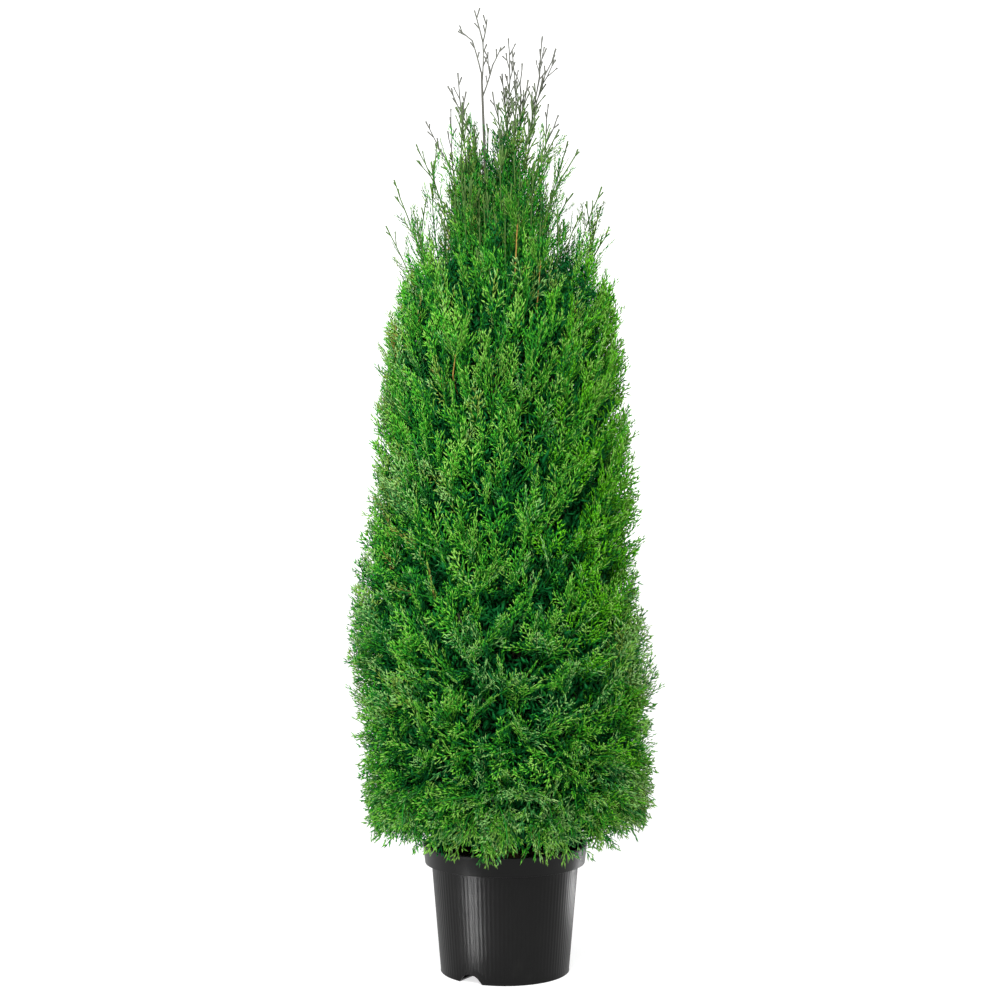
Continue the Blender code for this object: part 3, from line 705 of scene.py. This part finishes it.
class Foliage:
    def __init__(self, corners, faces):
        self.corners, self.faces = corners, faces
        self.bins = {tone: [] for tone in leafTones}
        self.templates = [[sprayTemplate(twigDice, kind) for _ in range(kind["variants"])] for kind in (fan, slimFan)]
        self.points = [[templatePoints(blades, corners, dice) for blades in kind] for kind in self.templates]

    # a spray's own tone, lifted at its tips, partly for new growth and partly as painted highlight, and sinking to the
    # dark tones with depth below the bush's face as painted shade
    def addSpray(self, root, along, face, scale, tone, slim=False, curl=0.0, lift=0.0, shadeDepth=shading["shadeDepth"]):
        index = dice.integers(0, len(self.templates[slim]))
        blades = self.templates[slim][index]
        points = self.points[slim][index] * scale
        along = along / np.linalg.norm(along)
        across = np.cross(along, face)
        across /= np.linalg.norm(across)
        face = np.cross(across, along)
        x, y, z = points[..., 0], points[..., 1], points[..., 2]
        # the spray curls over its length and cups across its width
        z = z + curl * y ** 2 / 0.09 - 2.2 * dice.uniform(-1, 1) * x ** 2
        placed = root + across * x[..., None] + along * y[..., None] + face * z[..., None]
        tips = placed[:, 3]
        keep = self.allowed(placed[:, 0]) & self.allowed(tips)
        offset = tips[:, 0] - trunkShift(tips[:, 2])
        depth = crownReach(np.arctan2(tips[:, 1], offset), tips[:, 2]) - np.hypot(offset, tips[:, 1])
        twiglet = dice.normal(0, shading["twigletNoise"], 60)[blades[:, 6].astype(int)]
        outer = shading["outerShare"] + (1 - shading["outerShare"]) * blades[:, 1] / blades[:, 1].max()
        step = lift + twiglet + shading["tipLift"] * blades[:, 5] * outer
        step = step - np.clip(depth - shading["faceDepth"], 0, None) / shadeDepth
        darkest, lightest = shading["steps"]
        step = np.clip(np.round(step), darkest, lightest).astype(int)
        for level, toneThere in enumerate(ladder[tone], darkest):
            self.bins[toneThere].append(placed[keep & (step == level)])

    # no leaf enters the pot or hangs far below its rim
    def allowed(self, tips):
        reach = np.hypot(tips[:, 0], tips[:, 1])
        inPot = (reach < pot["rim"] + 0.006) & (tips[:, 2] < pot["height"] + 0.004)
        return ~inPot & (tips[:, 2] > 0.185)

    def pieces(self, mats, nodes):
        made = 0
        for tone, parts in self.bins.items():
            if not parts:
                continue
            blades = np.concatenate(parts)
            count = len(blades) * len(self.faces)
            for index, chunk in enumerate(np.array_split(blades, math.ceil(count / 190000))):
                triangles = (self.faces[None] + 4 * np.arange(len(chunk))[:, None, None]).reshape(-1, 3)
                piece = meshPiece(f"foliage_{tone}_{index + 1}", chunk.reshape(-1, 3), triangles, mats[tone])
                settle(piece, "foliage", *nodes)
            made += count
            print("foliage", tone, count, "triangles")
        print("foliage in all", made)


# Zones of colour round the bush: tones and their shares; the shade shares are painted shade, most of it at the left
# and the left of the hem
zones = dict(
    plume=(("leaf", 5), ("olive", 2), ("shade", 3), ("twig", 2)),
    top=(("leaf", 6), ("fresh", 2), ("shade", 4), ("olive", 2), ("blue", 1)),
    left=(("leaf", 5), ("fresh", 1), ("shade", 5), ("olive", 2), ("bronze", 1), ("blue", 1)),
    right=(("lime", 6), ("fresh", 2), ("leaf", 3)),
    middle=(("leaf", 5), ("fresh", 3), ("blue", 1), ("shade", 2)),
    lowLeft=(("leaf", 5), ("fresh", 1), ("shade", 3), ("blue", 3)),
    lowMiddle=(("leaf", 4), ("blue", 2), ("mist", 2), ("fresh", 3), ("shade", 1)),
    lowRight=(("lime", 4), ("fresh", 3), ("leaf", 4), ("blue", 1), ("mist", 1)),
    hem=(("blue", 3), ("leaf", 3), ("mist", 4), ("fresh", 5), ("olive", 1)),
    hemLeft=(("blue", 5), ("shade", 6), ("leaf", 3), ("mist", 2)),
    weathered=(("olive", 4), ("bronze", 2), ("mist", 2), ("shade", 3), ("leaf", 2)),
    faded=(("olive", 5), ("mist", 4), ("pale", 2), ("fresh", 3)),
    dusty=(("mist", 3), ("olive", 3), ("blue", 3), ("shade", 3)),
    # painted shadow: the dark strips between lobes
    paintedShadow=(("heart", 4), ("shade", 3), ("blue", 3)),
)
# worn patches, and two dark strips of painted shadow between lobes of the bush: across, height, half width, half
# height and zone
patches = (
    (-0.195, 1.010, 0.040, 0.090, "weathered"), (-0.155, 0.810, 0.060, 0.042, "dusty"),
    (-0.225, 0.725, 0.040, 0.055, "weathered"), (-0.215, 0.490, 0.050, 0.045, "dusty"),
    (-0.245, 0.600, 0.030, 0.060, "dusty"), (0.220, 0.535, 0.036, 0.070, "faded"),
    (0.238, 0.430, 0.025, 0.050, "weathered"), (0.225, 0.280, 0.045, 0.060, "faded"),
    (-0.195, 0.615, 0.017, 0.080, "paintedShadow"), (-0.180, 0.780, 0.017, 0.030, "paintedShadow"),
)
# these tones come spray by spray and never as a whole frond
rareTones = ("pale", "twig", "heart", "bronze")


def zoneAt(place):
    side = place[0] + 0.03 * dice.normal()
    z = place[2] + 0.05 * dice.normal()
    for across, height, wide, tall, zone in patches:
        if ((place[0] - across) / wide) ** 2 + ((place[2] - height) / tall) ** 2 < 1 and place[1] < 0.05:
            return zone
    if z > 1.33:
        return "plume"
    if z > 1.02 and side > -0.11 and (side < 0.06 or z > 1.20):
        return "top"
    if z > 0.62:
        return "left" if side < -0.12 else "right" if side > 0.10 else "middle"
    if z < 0.30:
        return "hem" if side > -0.10 else "hemLeft"
    return "lowLeft" if side < -0.12 else "lowRight" if side > 0.14 else "lowMiddle"


def toneFor(place):
    tones, shares = zip(*zones[zoneAt(place)])
    shares = np.array(shares, float)
    return tones[dice.choice(len(tones), p=shares / shares.sum())]


# Fronds: each is a twig that leaves the trunk, curves up to the outline and carries sprays in turn
fronds = dict(
    count=760, innerCount=300, hemCount=110, lowest=0.215, highest=1.23, length=(0.080, 0.120),
    innerSink=(0.012, 0.045), hemRise=(0.010, 0.040), hemSink=(0.0, 0.085), leanNoise=13, swingNoise=20,
    reachNoise=0.006, reachMost=0.005, rootFloor=0.236, branchRadius=(0.0034, 0.0018), stemRadius=(0.0016, 0.0008),
)
# how closely the fronds stand at each height
frondDensity = np.array(((0.21, 1.4), (0.32, 1.0), (1.12, 1.0), (1.23, 0.4)))
sprays = dict(
    each=(7, 10), spacing=0.0078, firstBack=0.024, angle=40.0, angleNoise=9, roll=75, outOfPlane=0.32, twist=0.5,
    pitch=0.2, scale=(0.75, 1.20), ownTone=0.4, slimFrom=0.95, curl=(0.010, 0.014), lift=0.5, innerLift=-0.1,
)
# how strongly the sprays sweep up at each height
upSweep = np.array(((0.30, 0.0), (0.45, 0.50), (1.10, 0.65)))
# the sunken inner fronds take these dark tones and a lower lift: painted shade
innerTones = ("heart", "shade", "shade", "leaf", "blue")
# the hem's height round the bush in degrees, from the right by the back and the left to the front
hemline = np.array((
    (0, 0.246), (30, 0.238), (90, 0.230), (180, 0.230), (210, 0.240), (225, 0.240), (245, 0.234), (253, 0.230),
    (262, 0.221), (270, 0.232), (275, 0.238), (280, 0.224), (287, 0.232), (300, 0.230), (315, 0.226), (330, 0.244),
    (345, 0.250),
))


def hemAt(azimuth):
    return np.interp(np.degrees(azimuth) % 360, hemline[:, 0], hemline[:, 1], period=360)


def growFrond(foliage, twigs, greens, azimuth, z, sink, inner):
    # high in the bush the fronds stray less from their lean
    calm = float(np.interp(z, (0.75, 1.10), (1.0, 0.5)))
    lean = leanAt(z) + math.radians(dice.normal(0, fronds["leanNoise"])) * calm
    swing = math.radians(dice.normal(0, fronds["swingNoise"])) * calm
    edge = hemAt(azimuth)
    z = max(z, edge + 0.012)
    reach = float(crownReach(azimuth, z)) + min(dice.normal(0, fronds["reachNoise"]), fronds["reachMost"]) - sink
    tip = around(azimuth, reach, z)
    outward = np.array((math.cos(azimuth + swing), math.sin(azimuth + swing), 0))
    along = outward * math.cos(lean) + np.array((0, 0, math.sin(lean)))
    length = dice.uniform(*fronds["length"])
    start = leanAt(z) * 0.6 + math.radians(18)
    first = outward * math.cos(start) + np.array((0, 0, math.sin(start)))
    root = tip - (along + first) * 0.5 * length
    root[2] = max(root[2], fronds["rootFloor"])
    stem = curve(root, tip - along * length * 0.5, tip, 9)
    stem[:, 2] = np.maximum(stem[:, 2], edge + 0.006)
    # the branch back to the trunk
    distance = math.hypot(root[0] - float(trunkShift(root[2])), root[1])
    attach = max(root[2] - distance * (0.9 if z > 0.5 else 0.5), crown["soil"] + 0.02)
    foot = np.array((float(trunkShift(attach)), 0, attach))
    branch = curve(foot, (foot + root) / 2 + (0, 0, -0.25 * (root[2] - attach)), root, 7)
    twigs.add(branch, np.linspace(*fronds["branchRadius"], 7), 5)
    greens.add(stem[:8], np.linspace(*fronds["stemRadius"], 8), 3)
    growSprays(foliage, stem, along, azimuth, inner)


def buildFronds(foliage, twigs, greens):
    heights = np.linspace(fronds["lowest"], fronds["highest"], 200)
    girth = crownReach(math.pi / 2 * np.ones(200), heights) ** 0.85
    area = np.cumsum(girth * np.interp(heights, frondDensity[:, 0], frondDensity[:, 1]))
    area /= area[-1]
    # two steps that never fall into rows spread the fronds evenly
    for i in range(fronds["count"] + fronds["innerCount"]):
        azimuth = 2 * math.pi * ((i * 0.7548777 + 0.13) % 1.0) + dice.normal(0, 0.04)
        z = float(np.interp((i * 0.5698403 + 0.31) % 1.0, area, heights)) + dice.normal(0, 0.008)
        inner = i >= fronds["count"]
        growFrond(foliage, twigs, greens, azimuth, z, dice.uniform(*fronds["innerSink"]) if inner else 0.0, inner)
    # short fronds hang at the hem and hide the pot's mouth
    for i in range(fronds["hemCount"]):
        azimuth = i * goldenTurn + dice.normal(0, 0.1)
        z = hemAt(azimuth) + dice.uniform(*fronds["hemRise"])
        growFrond(foliage, twigs, greens, azimuth, z, dice.uniform(*fronds["hemSink"]), False)


def growSprays(foliage, stem, along, azimuth, inner):
    count = int(dice.integers(sprays["each"][0], sprays["each"][1] + 1))
    roll = math.radians(dice.uniform(-sprays["roll"], sprays["roll"]))
    radial = np.array((math.cos(azimuth), math.sin(azimuth), 0.0))
    sideways = np.cross(along, (0, 0, 1) if abs(along[2]) < 0.95 else radial)
    sideways /= np.linalg.norm(sideways)
    # the fan's plane holds the twig and turns about it
    face = sideways * math.cos(roll) + np.cross(sideways, along) * math.sin(roll)
    length = np.linalg.norm(np.diff(stem, axis=0), axis=1).sum()
    last = len(stem) - 1
    # high in the bush the sprays are narrow and stand close to their twig
    upright = float(np.interp(stem[-1][2], (0.65, 1.05), (1.0, 0.45)))
    tone = toneFor(stem[-1])
    while tone in rareTones:
        tone = toneFor(stem[-1])
    for i in range(count):
        back = max(length - sprays["firstBack"] - i * sprays["spacing"] * dice.uniform(0.8, 1.2), 0.004)
        place = pointOn(stem, back / length)
        below = int(back / length * last)
        here = stem[min(below + 1, last)] - stem[below if back < length else last - 1]
        here = here / (np.linalg.norm(here) + 1e-9)
        side = 0 if i == 0 else (1 if i % 2 else -1)
        angle = math.radians(sprays["angle"] * upright + dice.normal(0, sprays["angleNoise"])) * side
        inPlane = np.cross(face, here)
        inPlane /= np.linalg.norm(inPlane)
        way = here * math.cos(angle) + inPlane * math.sin(angle) + face * dice.normal(0, sprays["outOfPlane"])
        # above the hem the sprays sweep up from their frond
        way = way + np.array((0, 0, np.interp(place[2], upSweep[:, 0], upSweep[:, 1])))
        way /= np.linalg.norm(way)
        normal = face + inPlane * dice.normal(0, sprays["twist"]) + here * dice.normal(0, sprays["pitch"])
        scale = dice.uniform(*sprays["scale"]) * (1 - 0.008 * i)
        # the spray's tip stays near the outline and above the hem
        end = place + way * fan["length"] * scale
        middle = float(trunkShift(end[2]))
        spot = math.atan2(end[1], end[0] - middle)
        over = math.hypot(end[0] - middle, end[1]) - float(crownReach(spot, end[2])) - 0.001
        shift = np.array((-math.cos(spot), -math.sin(spot), 0)) * max(over, 0)
        shift[2] += max(hemAt(spot) - end[2], 0)
        mine = tone if dice.random() < sprays["ownTone"] else toneFor(place)
        # inner fronds are darkened: painted shade
        if inner:
            mine = innerTones[dice.integers(0, len(innerTones))]
        slim = dice.random() > upright * sprays["slimFrom"]
        lift = sprays["innerLift" if inner else "lift"]
        foliage.addSpray(place + shift, way, normal, scale, mine, slim, dice.normal(*sprays["curl"]), lift)


# Inner leaves: coarse, in the darkest tone as painted shade, they close the view through the bush
innerLeaves = dict(
    count=34000, hemCount=6000, hemBand=(0.005, 0.07), highest=1.20, depth=(0.040, 0.115), length=0.024, width=0.0070,
    thickness=0.0012, scale=(0.7, 1.3), aboveHem=0.010,
)


def buildInner(foliage):
    count = innerLeaves["count"]
    n = count + innerLeaves["hemCount"]
    azimuth = dice.uniform(0, 2 * math.pi, n)
    z = hemAt(azimuth) + dice.uniform(0.008, 1.0, n) * (innerLeaves["highest"] - 0.24)
    z[count:] = (hemAt(azimuth) + dice.uniform(*innerLeaves["hemBand"], n))[count:]
    depth = dice.uniform(*innerLeaves["depth"], n) * np.interp(z, (0.2, 1.0, 1.20), (1.0, 0.9, 0.80))
    radius = np.maximum(crownReach(azimuth, z) - depth, 0.015)
    place = around(azimuth, radius, z)
    along = dice.normal(0, 1, (n, 3)) + (0, 0, 1.2)
    along /= np.linalg.norm(along, axis=1, keepdims=True)
    across = np.cross(along, dice.normal(0, 1, (n, 3)))
    across /= np.linalg.norm(across, axis=1, keepdims=True)
    face = np.cross(across, along)
    # the leaves get smaller towards the plume
    grow = (dice.uniform(*innerLeaves["scale"], n) * np.interp(z, (1.0, 1.2), (1.0, 0.55)))[:, None, None]
    x, y, thick = foliage.corners[None, :, :1], foliage.corners[None, :, 1:2], foliage.corners[None, :, 2:]
    points = place[:, None] + grow * (
        across[:, None] * x * innerLeaves["width"] + along[:, None] * y * innerLeaves["length"]
        + face[:, None] * thick * innerLeaves["thickness"]
    )
    clear = points[:, :, 2].min(1) > hemAt(azimuth) + innerLeaves["aboveHem"]
    foliage.bins["heart"].append(points[foliage.allowed(points[:, 3]) & clear])


# Plume: upright shoots with short sprays, bare and forked at their tips
plume = dict(
    shoots=85, spread=0.90, height=1.475, fall=0.19, fallPower=1.6, heightNoise=0.018, footShare=0.75,
    footHeight=(1.00, 0.12), bareLength=(0.030, 0.070),
    parting=(-0.030, 0.020, 0.070),  # its middle, its half width and how much lower the shoots in it end
    # tip across, height, length of the bare part and its lean, read from the outline of the top
    tips=(
        (0.010, 1.589, 0.100, 1), (0.017, 1.564, 0.085, -3), (0.027, 1.550, 0.065, -2), (0.065, 1.594, 0.130, 7),
        (0.090, 1.569, 0.090, 27), (-0.006, 1.535, 0.050, -9), (-0.021, 1.500, 0.050, -14), (0.043, 1.524, 0.045, 15),
        (-0.083, 1.531, 0.080, -8), (-0.096, 1.509, 0.065, -30), (-0.067, 1.490, 0.045, 8), (-0.094, 1.471, 0.100, -1),
        (-0.134, 1.454, 0.080, -31), (-0.154, 1.407, 0.110, -31), (-0.114, 1.410, 0.060, 12),
        (-0.191, 1.337, 0.080, -27), (-0.205, 1.275, 0.070, -28), (-0.139, 1.314, 0.060, 6),
        (-0.152, 1.282, 0.050, -12), (-0.114, 1.318, 0.050, -24), (0.073, 1.483, 0.055, 1), (0.092, 1.449, 0.050, 29),
        (0.093, 1.424, 0.040, 33), (0.109, 1.413, 0.050, 20), (0.123, 1.390, 0.060, 34), (0.117, 1.332, 0.040, 34),
        (0.164, 1.337, 0.075, 21), (0.138, 1.314, 0.045, -16), (0.165, 1.313, 0.060, 9), (0.181, 1.274, 0.060, 29),
        (0.128, 1.291, 0.040, 22),
    ),
    tipDepth=0.6, tipRise=0.36, tipFootShare=0.50, greyAbove=1.44,
)
bareTwig = dict(
    radius=0.0012, beadRadius=0.0016, forkEvery=(0.016, 0.026), forkAngle=(13, 26), sideLength=(0.35, 0.75),
    lastLength=0.020, zigzag=0.09, wander=0.05, thinner=0.85,
)
shoot = dict(
    stemRadius=(0.0012, 0.0010), firstSpray=0.10, sprayAngle=(14, 32), sprayStep=(0.009, 0.015), scale=(0.8, 1.25),
    curl=(0.0, 0.008), shadeDepth=0.07, scalyFrom=1.29, scalyRise=7, scalyLength=(0.020, 0.042), scalyRadius=0.0010,
    scalyStep=(0.005, 0.010), turnNoise=0.6,
)
# the forked leader above the trunk: the start and the end of each piece of wood, and its radius
leader = dict(
    root=1.51, sideTwigs=(0.42, 0.75), sideLength=(0.008, 0.018),
    wood=(
        (None, (-0.0376, 0.002, 1.581), 0.0013),
        ((-0.0376, 0.002, 1.581), (-0.0521, 0.004, 1.636), 0.0014),
        ((-0.0376, 0.002, 1.581), (-0.0307, -0.003, 1.619), 0.0013),
        ((-0.041, 0, 1.530), (-0.0560, 0.006, 1.585), 0.0014),
        ((-0.0560, 0.006, 1.585), (-0.0785, 0.010, 1.605), 0.0012),
        ((-0.0385, 0, 1.487), (-0.0210, -0.006, 1.540), 0.0014),
        ((-0.0210, -0.006, 1.540), (-0.0068, -0.008, 1.570), 0.0012),
        ((-0.0260, -0.005, 1.525), (-0.0290, -0.010, 1.562), 0.0011),
    ),
)


# A bare twig: it bends a little at each fork, and its side twigs fork once more
def growBare(bare, start, way, length, radius, level=0):
    places, side, travel = [start], dice.choice((-1, 1)), 0.0
    turn = dice.uniform(0, math.pi)
    here = start
    while travel < length:
        step = min(dice.uniform(*bareTwig["forkEvery"]) * (0.8 if level else 1.0), length - travel + 0.004)
        here = here + unit(way + dice.normal(0, bareTwig["wander"], 3)) * step
        travel += step
        places.append(here)
        left = length - travel
        if level < 2 and left > 0.008:
            sideways = np.array((math.cos(turn), math.sin(turn) * 0.7, 0.0))
            sideways = unit(sideways - way * sideways.dot(way))
            angle = math.radians(dice.uniform(*bareTwig["forkAngle"]))
            branch = way * math.cos(angle) + sideways * side * math.sin(angle)
            if level == 0:
                reach = left * dice.uniform(*bareTwig["sideLength"])
            else:
                reach = min(left, bareTwig["lastLength"]) * dice.uniform(0.5, 1.0)
            growBare(bare, here, branch, reach, radius * bareTwig["thinner"], level + 1)
            way = unit(way - sideways * side * bareTwig["zigzag"] + (0, 0, 0.03))
            side = -side
            turn += dice.normal(0, 0.35)
    places = np.array(places)
    radii = np.linspace(radius, radius * 0.8, len(places))
    radii[-1] = bareTwig["beadRadius"] * (0.9 if level else 1.0)
    bare.add(places, radii, 4)


# A shoot: a stem with short sprays on both sides, and its tip bare
def growShoot(foliage, twigs, green, bare, foot, tip, bareLength, lean=None):
    rise = tip[2] - foot[2]
    bend = np.array((tip[0] * 0.75 + foot[0] * 0.25, tip[1] * 0.75 + foot[1] * 0.25, foot[2] + rise * 0.45))
    if lean is not None:
        bend = tip - np.array((math.tan(math.radians(lean)), 0, 1)) * rise * 0.42
    whole = curve(foot, bend, tip, 24)
    length = np.linalg.norm(np.diff(whole, axis=0), axis=1).sum()
    leafy = 1 - bareLength / length
    stem = np.array([pointOn(whole, share) for share in np.linspace(0, leafy, 14)])
    twigs.add(stem, np.linspace(*shoot["stemRadius"], 14), 4)
    bareWay = whole[-1] - stem[-1]
    growBare(bare, stem[-1], unit(bareWay), np.linalg.norm(bareWay) - 0.003, bareTwig["radius"])
    length *= leafy
    travel, side, turn = length * shoot["firstSpray"], 1, dice.uniform(0, math.pi)
    while travel < length:
        share = travel / length
        place = pointOn(stem, share)
        below = min(int(share * 13), 12)
        here = unit(stem[below + 1] - stem[below])
        plane = np.array((math.cos(turn), math.sin(turn), 0.0))
        plane = unit(plane - here * plane.dot(here))
        angle = math.radians(dice.uniform(*shoot["sprayAngle"]))
        way = here * math.cos(angle) + plane * side * math.sin(angle)
        normal = np.cross(here, plane) + plane * dice.normal(0, 0.5)
        scale = dice.uniform(*shoot["scale"]) * (1.2 - 0.45 * share)
        # towards its tip a shoot carries scaly green twigs and fewer sprays
        if dice.random() < (place[2] - shoot["scalyFrom"]) * shoot["scalyRise"]:
            reach = dice.uniform(*shoot["scalyLength"]) * (1.3 - 0.6 * share)
            growBare(green, place, way, reach, shoot["scalyRadius"], 1)
            travel += dice.uniform(*shoot["scalyStep"])
        else:
            tone = toneFor(place) if dice.random() > share ** 3 * 0.6 else "twig"
            curl = dice.normal(*shoot["curl"])
            foliage.addSpray(place, way, normal, scale, tone, True, curl, 0.2 - 0.4 * share, shoot["shadeDepth"])
            travel += dice.uniform(*shoot["sprayStep"])
        side = -side
        turn += dice.normal(0, shoot["turnNoise"])


def buildPlume(foliage, bare, young, green):
    middle, half, drop = plume["parting"]
    low, spread = plume["footHeight"]
    for i in range(plume["shoots"]):
        azimuth = i * goldenTurn + dice.normal(0, 0.1)
        share = math.sqrt((i + 0.5) / plume["shoots"])
        height = plume["height"] - plume["fall"] * share ** plume["fallPower"] + dice.normal(0, plume["heightNoise"])
        limit = float(crownReach(azimuth, height)) * plume["spread"]
        radius = limit * share
        # the shoots part behind the leader and let the sky through
        if abs(around(azimuth, radius, height)[0] - middle) < half:
            height -= drop
        foot = around(azimuth, radius * plume["footShare"], low + spread * dice.random())
        tip = around(azimuth, radius, height)
        growShoot(foliage, young, green, young, foot, tip, dice.uniform(*plume["bareLength"]))
    for across, height, bareLength, lean in plume["tips"]:
        room = float(crownReach(math.pi / 2, min(height, 1.55)))
        away = dice.uniform(-plume["tipDepth"], plume["tipDepth"]) * room
        footZ = max(height - plume["tipRise"], 1.0)
        centre = float(trunkShift(footZ))
        foot = np.array((centre + (across - centre) * plume["tipFootShare"], away * 0.5, footZ))
        bark = bare if height > plume["greyAbove"] else young
        growShoot(foliage, young, green, bark, foot, np.array((across, away, height)), bareLength, lean)
    growLeader(bare)


# The forked leader stands bare above the trunk
def growLeader(bare):
    root = (float(trunkShift(leader["root"])), 0, leader["root"])
    for start, end, radius in leader["wood"]:
        start, end = np.array(start or root, float), np.array(end, float)
        step = end - start
        bend = (start + end) / 2 + np.cross(step, (0, 1, 0)) * dice.uniform(-0.05, 0.08)
        radii = np.linspace(radius, radius * 0.8, 5)
        radii[-1] = max(radii[-1], bareTwig["beadRadius"] * 0.85)
        path = curve(start, bend, end, 5)
        bare.add(path, radii, 5)
        for share in leader["sideTwigs"]:
            way = unit(unit(step) + np.array((dice.choice((-1, 1)) * 0.45, dice.normal(0, 0.2), 0)))
            growBare(bare, pointOn(path, share), way, dice.uniform(*leader["sideLength"]), 0.0010, 2)


# Tan stems of last year's wood rise to the face of the bush in front
woody = dict(
    # across and height of the foot and the tip, and radius
    stems=((0.016, 1.165, 0.020, 1.253, 0.0019), (0.052, 1.120, 0.058, 1.190, 0.0014),
           (-0.084, 1.000, -0.080, 1.034, 0.0013)),
    sprays=5, sprayFrom=0.62, sprayStep=0.09, sprayScale=(0.8, 1.1),
)


def buildWoody(foliage, mat):
    stems = TubeBin()
    for footAcross, low, tipAcross, high, thick in woody["stems"]:
        face = float(crownReach(-math.pi / 2, high)) - 0.016
        foot = np.array((float(trunkShift(low - 0.12)), 0, low - 0.12))
        first = np.array((footAcross, -face - 0.004, low))
        last = np.array((tipAcross, -face + 0.004, high))
        hidden = curve(foot, (footAcross, -face * 0.55, low - 0.03), first, 8)[:-1]
        path = np.concatenate((hidden, curve(first, (first + last) / 2, last, 8)))
        stems.add(path, np.linspace(thick, thick * 0.6, len(path)), 6)
        for i in range(woody["sprays"]):
            way = unit(np.array((dice.choice((-1, 1)) * 0.35, dice.normal(-0.1, 0.1), 1.0)))
            place = pointOn(path[7:], woody["sprayFrom"] + woody["sprayStep"] * i)
            normal = np.array((dice.normal(0, 0.3), -1.0, 0.1))
            foliage.addSpray(place, way, normal, dice.uniform(*woody["sprayScale"]), "fresh", True)
    settle(stems.piece("woody_stems", mat), "bark")


# Studio
studio = dict(
    sides=0.32, lift=(0.0, 1.10, 0.80), gridSpread=40, floor="#acacac", floorGlow=0.70,
    # place, aim, size and power of each lamp
    lamps=(
        ("keySoftbox", (-2.1, -1.75, 1.5), (0, 0, 0.7), (0.7, 2.2), 3.0),
        ("rimSoftbox", (1.9, 1.2, 1.6), (0, 0, 0.8), (0.8, 2.0), 1.5),
        ("topSoftbox", (-0.4, -2.3, 2.5), (0, 0, 0.7), (1.4, 1.0), 98.0),
    ),
    # two small gridded lamps close to the pot draw the streak on its wall and the bright line down its right edge
    gridded=(
        ("streakLamp", (-0.173, -0.195, 0.078), (-0.053, -0.105, 0.108), (0.024, 0.155), 0.066),
        ("edgeLamp", (0.39, 0.245, 0.045), (0.11, -0.04, 0.09), (0.05, 0.085), 0.026),
    ),
)


def addLight(name, place, aim, size, energy):
    data = bpy.data.lights.new(name, "AREA")
    data.shape = "RECTANGLE"
    data.size, data.size_y = size
    data.energy = energy
    light = bpy.data.objects.new(name, data)
    light.location = place
    light.rotation_euler = (Vector(aim) - Vector(place)).to_track_quat("-Z", "Y").to_euler()
    bpy.context.scene.collection.objects.link(light)
    return light


def buildStudio():
    world = bpy.data.worlds.new("studio")
    bpy.context.scene.world = world
    world.use_nodes = True
    # brightest in front, behind and overhead, and dimmer at the sides, which gives the round bush its depth
    tree = world.node_tree
    way = addNode(tree, "ShaderNodeTexCoord").outputs["Generated"]
    squares = addNode(tree, "ShaderNodeVectorMath", {"operation": "MULTIPLY"}, {0: way, 1: way}).outputs["Vector"]
    lift = addNode(tree, "ShaderNodeVectorMath", {"operation": "DOT_PRODUCT", 1: studio["lift"]}, {0: squares})
    glow = addNode(tree, "ShaderNodeMath", {"operation": "ADD", 1: studio["sides"]}, {0: lift.outputs["Value"]})
    tree.nodes["Background"].inputs["Color"].default_value = (1, 1, 1, 1)
    tree.links.new(glow.outputs["Value"], tree.nodes["Background"].inputs["Strength"])
    for lamp in studio["lamps"]:
        addLight(*lamp)
    for lamp in studio["gridded"]:
        addLight(*lamp).data.spread = math.radians(studio["gridSpread"])
    bpy.ops.mesh.primitive_plane_add(size=60, location=(0, 0, 0))
    floor = bpy.context.object
    floor.name = "studioFloor"
    mat, tree, shader = newMaterial("paintedBoard")
    shader.inputs["Base Color"].default_value = linear(studio["floor"])
    shader.inputs["Roughness"].default_value = 0.9
    shader.inputs["Emission Color"].default_value = (1, 1, 1, 1)  # lit from beneath, so the floor stays white
    shader.inputs["Emission Strength"].default_value = studio["floorGlow"]
    floor.data.materials.append(mat)
    bpy.context.scene.view_settings.view_transform = "Standard"


addCamera()
print("camera set")
bark = fibrousBark("fibrousBark", "#3a2419", "#6b4a34", "#a07c5c", 1.25)
buildPot(mouldedPlastic())
print("pot moulded")
buildSoil(moistMix("moistMix", "#15100c", "#3d2c20"), moistMix("barkChips", "#3a2415", "#7a5234"))
print("soil filled")
buildLimbs(bark)
print("limbs grown")
tiers = ("skirt", "low", "middle", "upper", "plume")
masses = [name for name in sorted(o.name for o in bpy.data.objects) if name.split("_")[0] in tiers]
foliage = Foliage(*leafBlade())
twigs, greens, bare, young, scaly = TubeBin(), TubeBin(), TubeBin(), TubeBin(), TubeBin()
buildFronds(foliage, twigs, greens)
print("fronds grown")
buildInner(foliage)
buildPlume(foliage, bare, young, scaly)
print("plume grown")
buildWoody(foliage, fibrousBark("tanBark", "#4e3c14", "#8a6a28", "#aa8a40"))
leafMats = {tone: waxyLeaf(tone) for tone in leafTones}
foliage.pieces(leafMats, masses)
twigBark = fibrousBark("twigBark", "#1e2210", "#2e361a", "#464c2a")
scalyBark = fibrousBark("scalyBark", "#3a6020", "#527a2c", "#6c9240", 1.40)
youngBark = fibrousBark("youngBark", "#2e4e18", "#406220", "#567632", 1.37)
greyBark = fibrousBark("greyTwigBark", "#484a44", "#5a5c54", "#74766c")
settle(twigs.piece("twigs", twigBark), "bark", *masses)
settle(greens.piece("green_twigs", leafMats["shade"]), "foliage", *masses)
settle(scaly.piece("scaly_twigs", scalyBark), "foliage", *masses)
settle(young.piece("young_twigs", youngBark), "bark", *masses)
settle(bare.piece("bare_twigs", greyBark), "bark", "leader_tips")
print("twigs grown")
buildStudio()
print("studio lit")
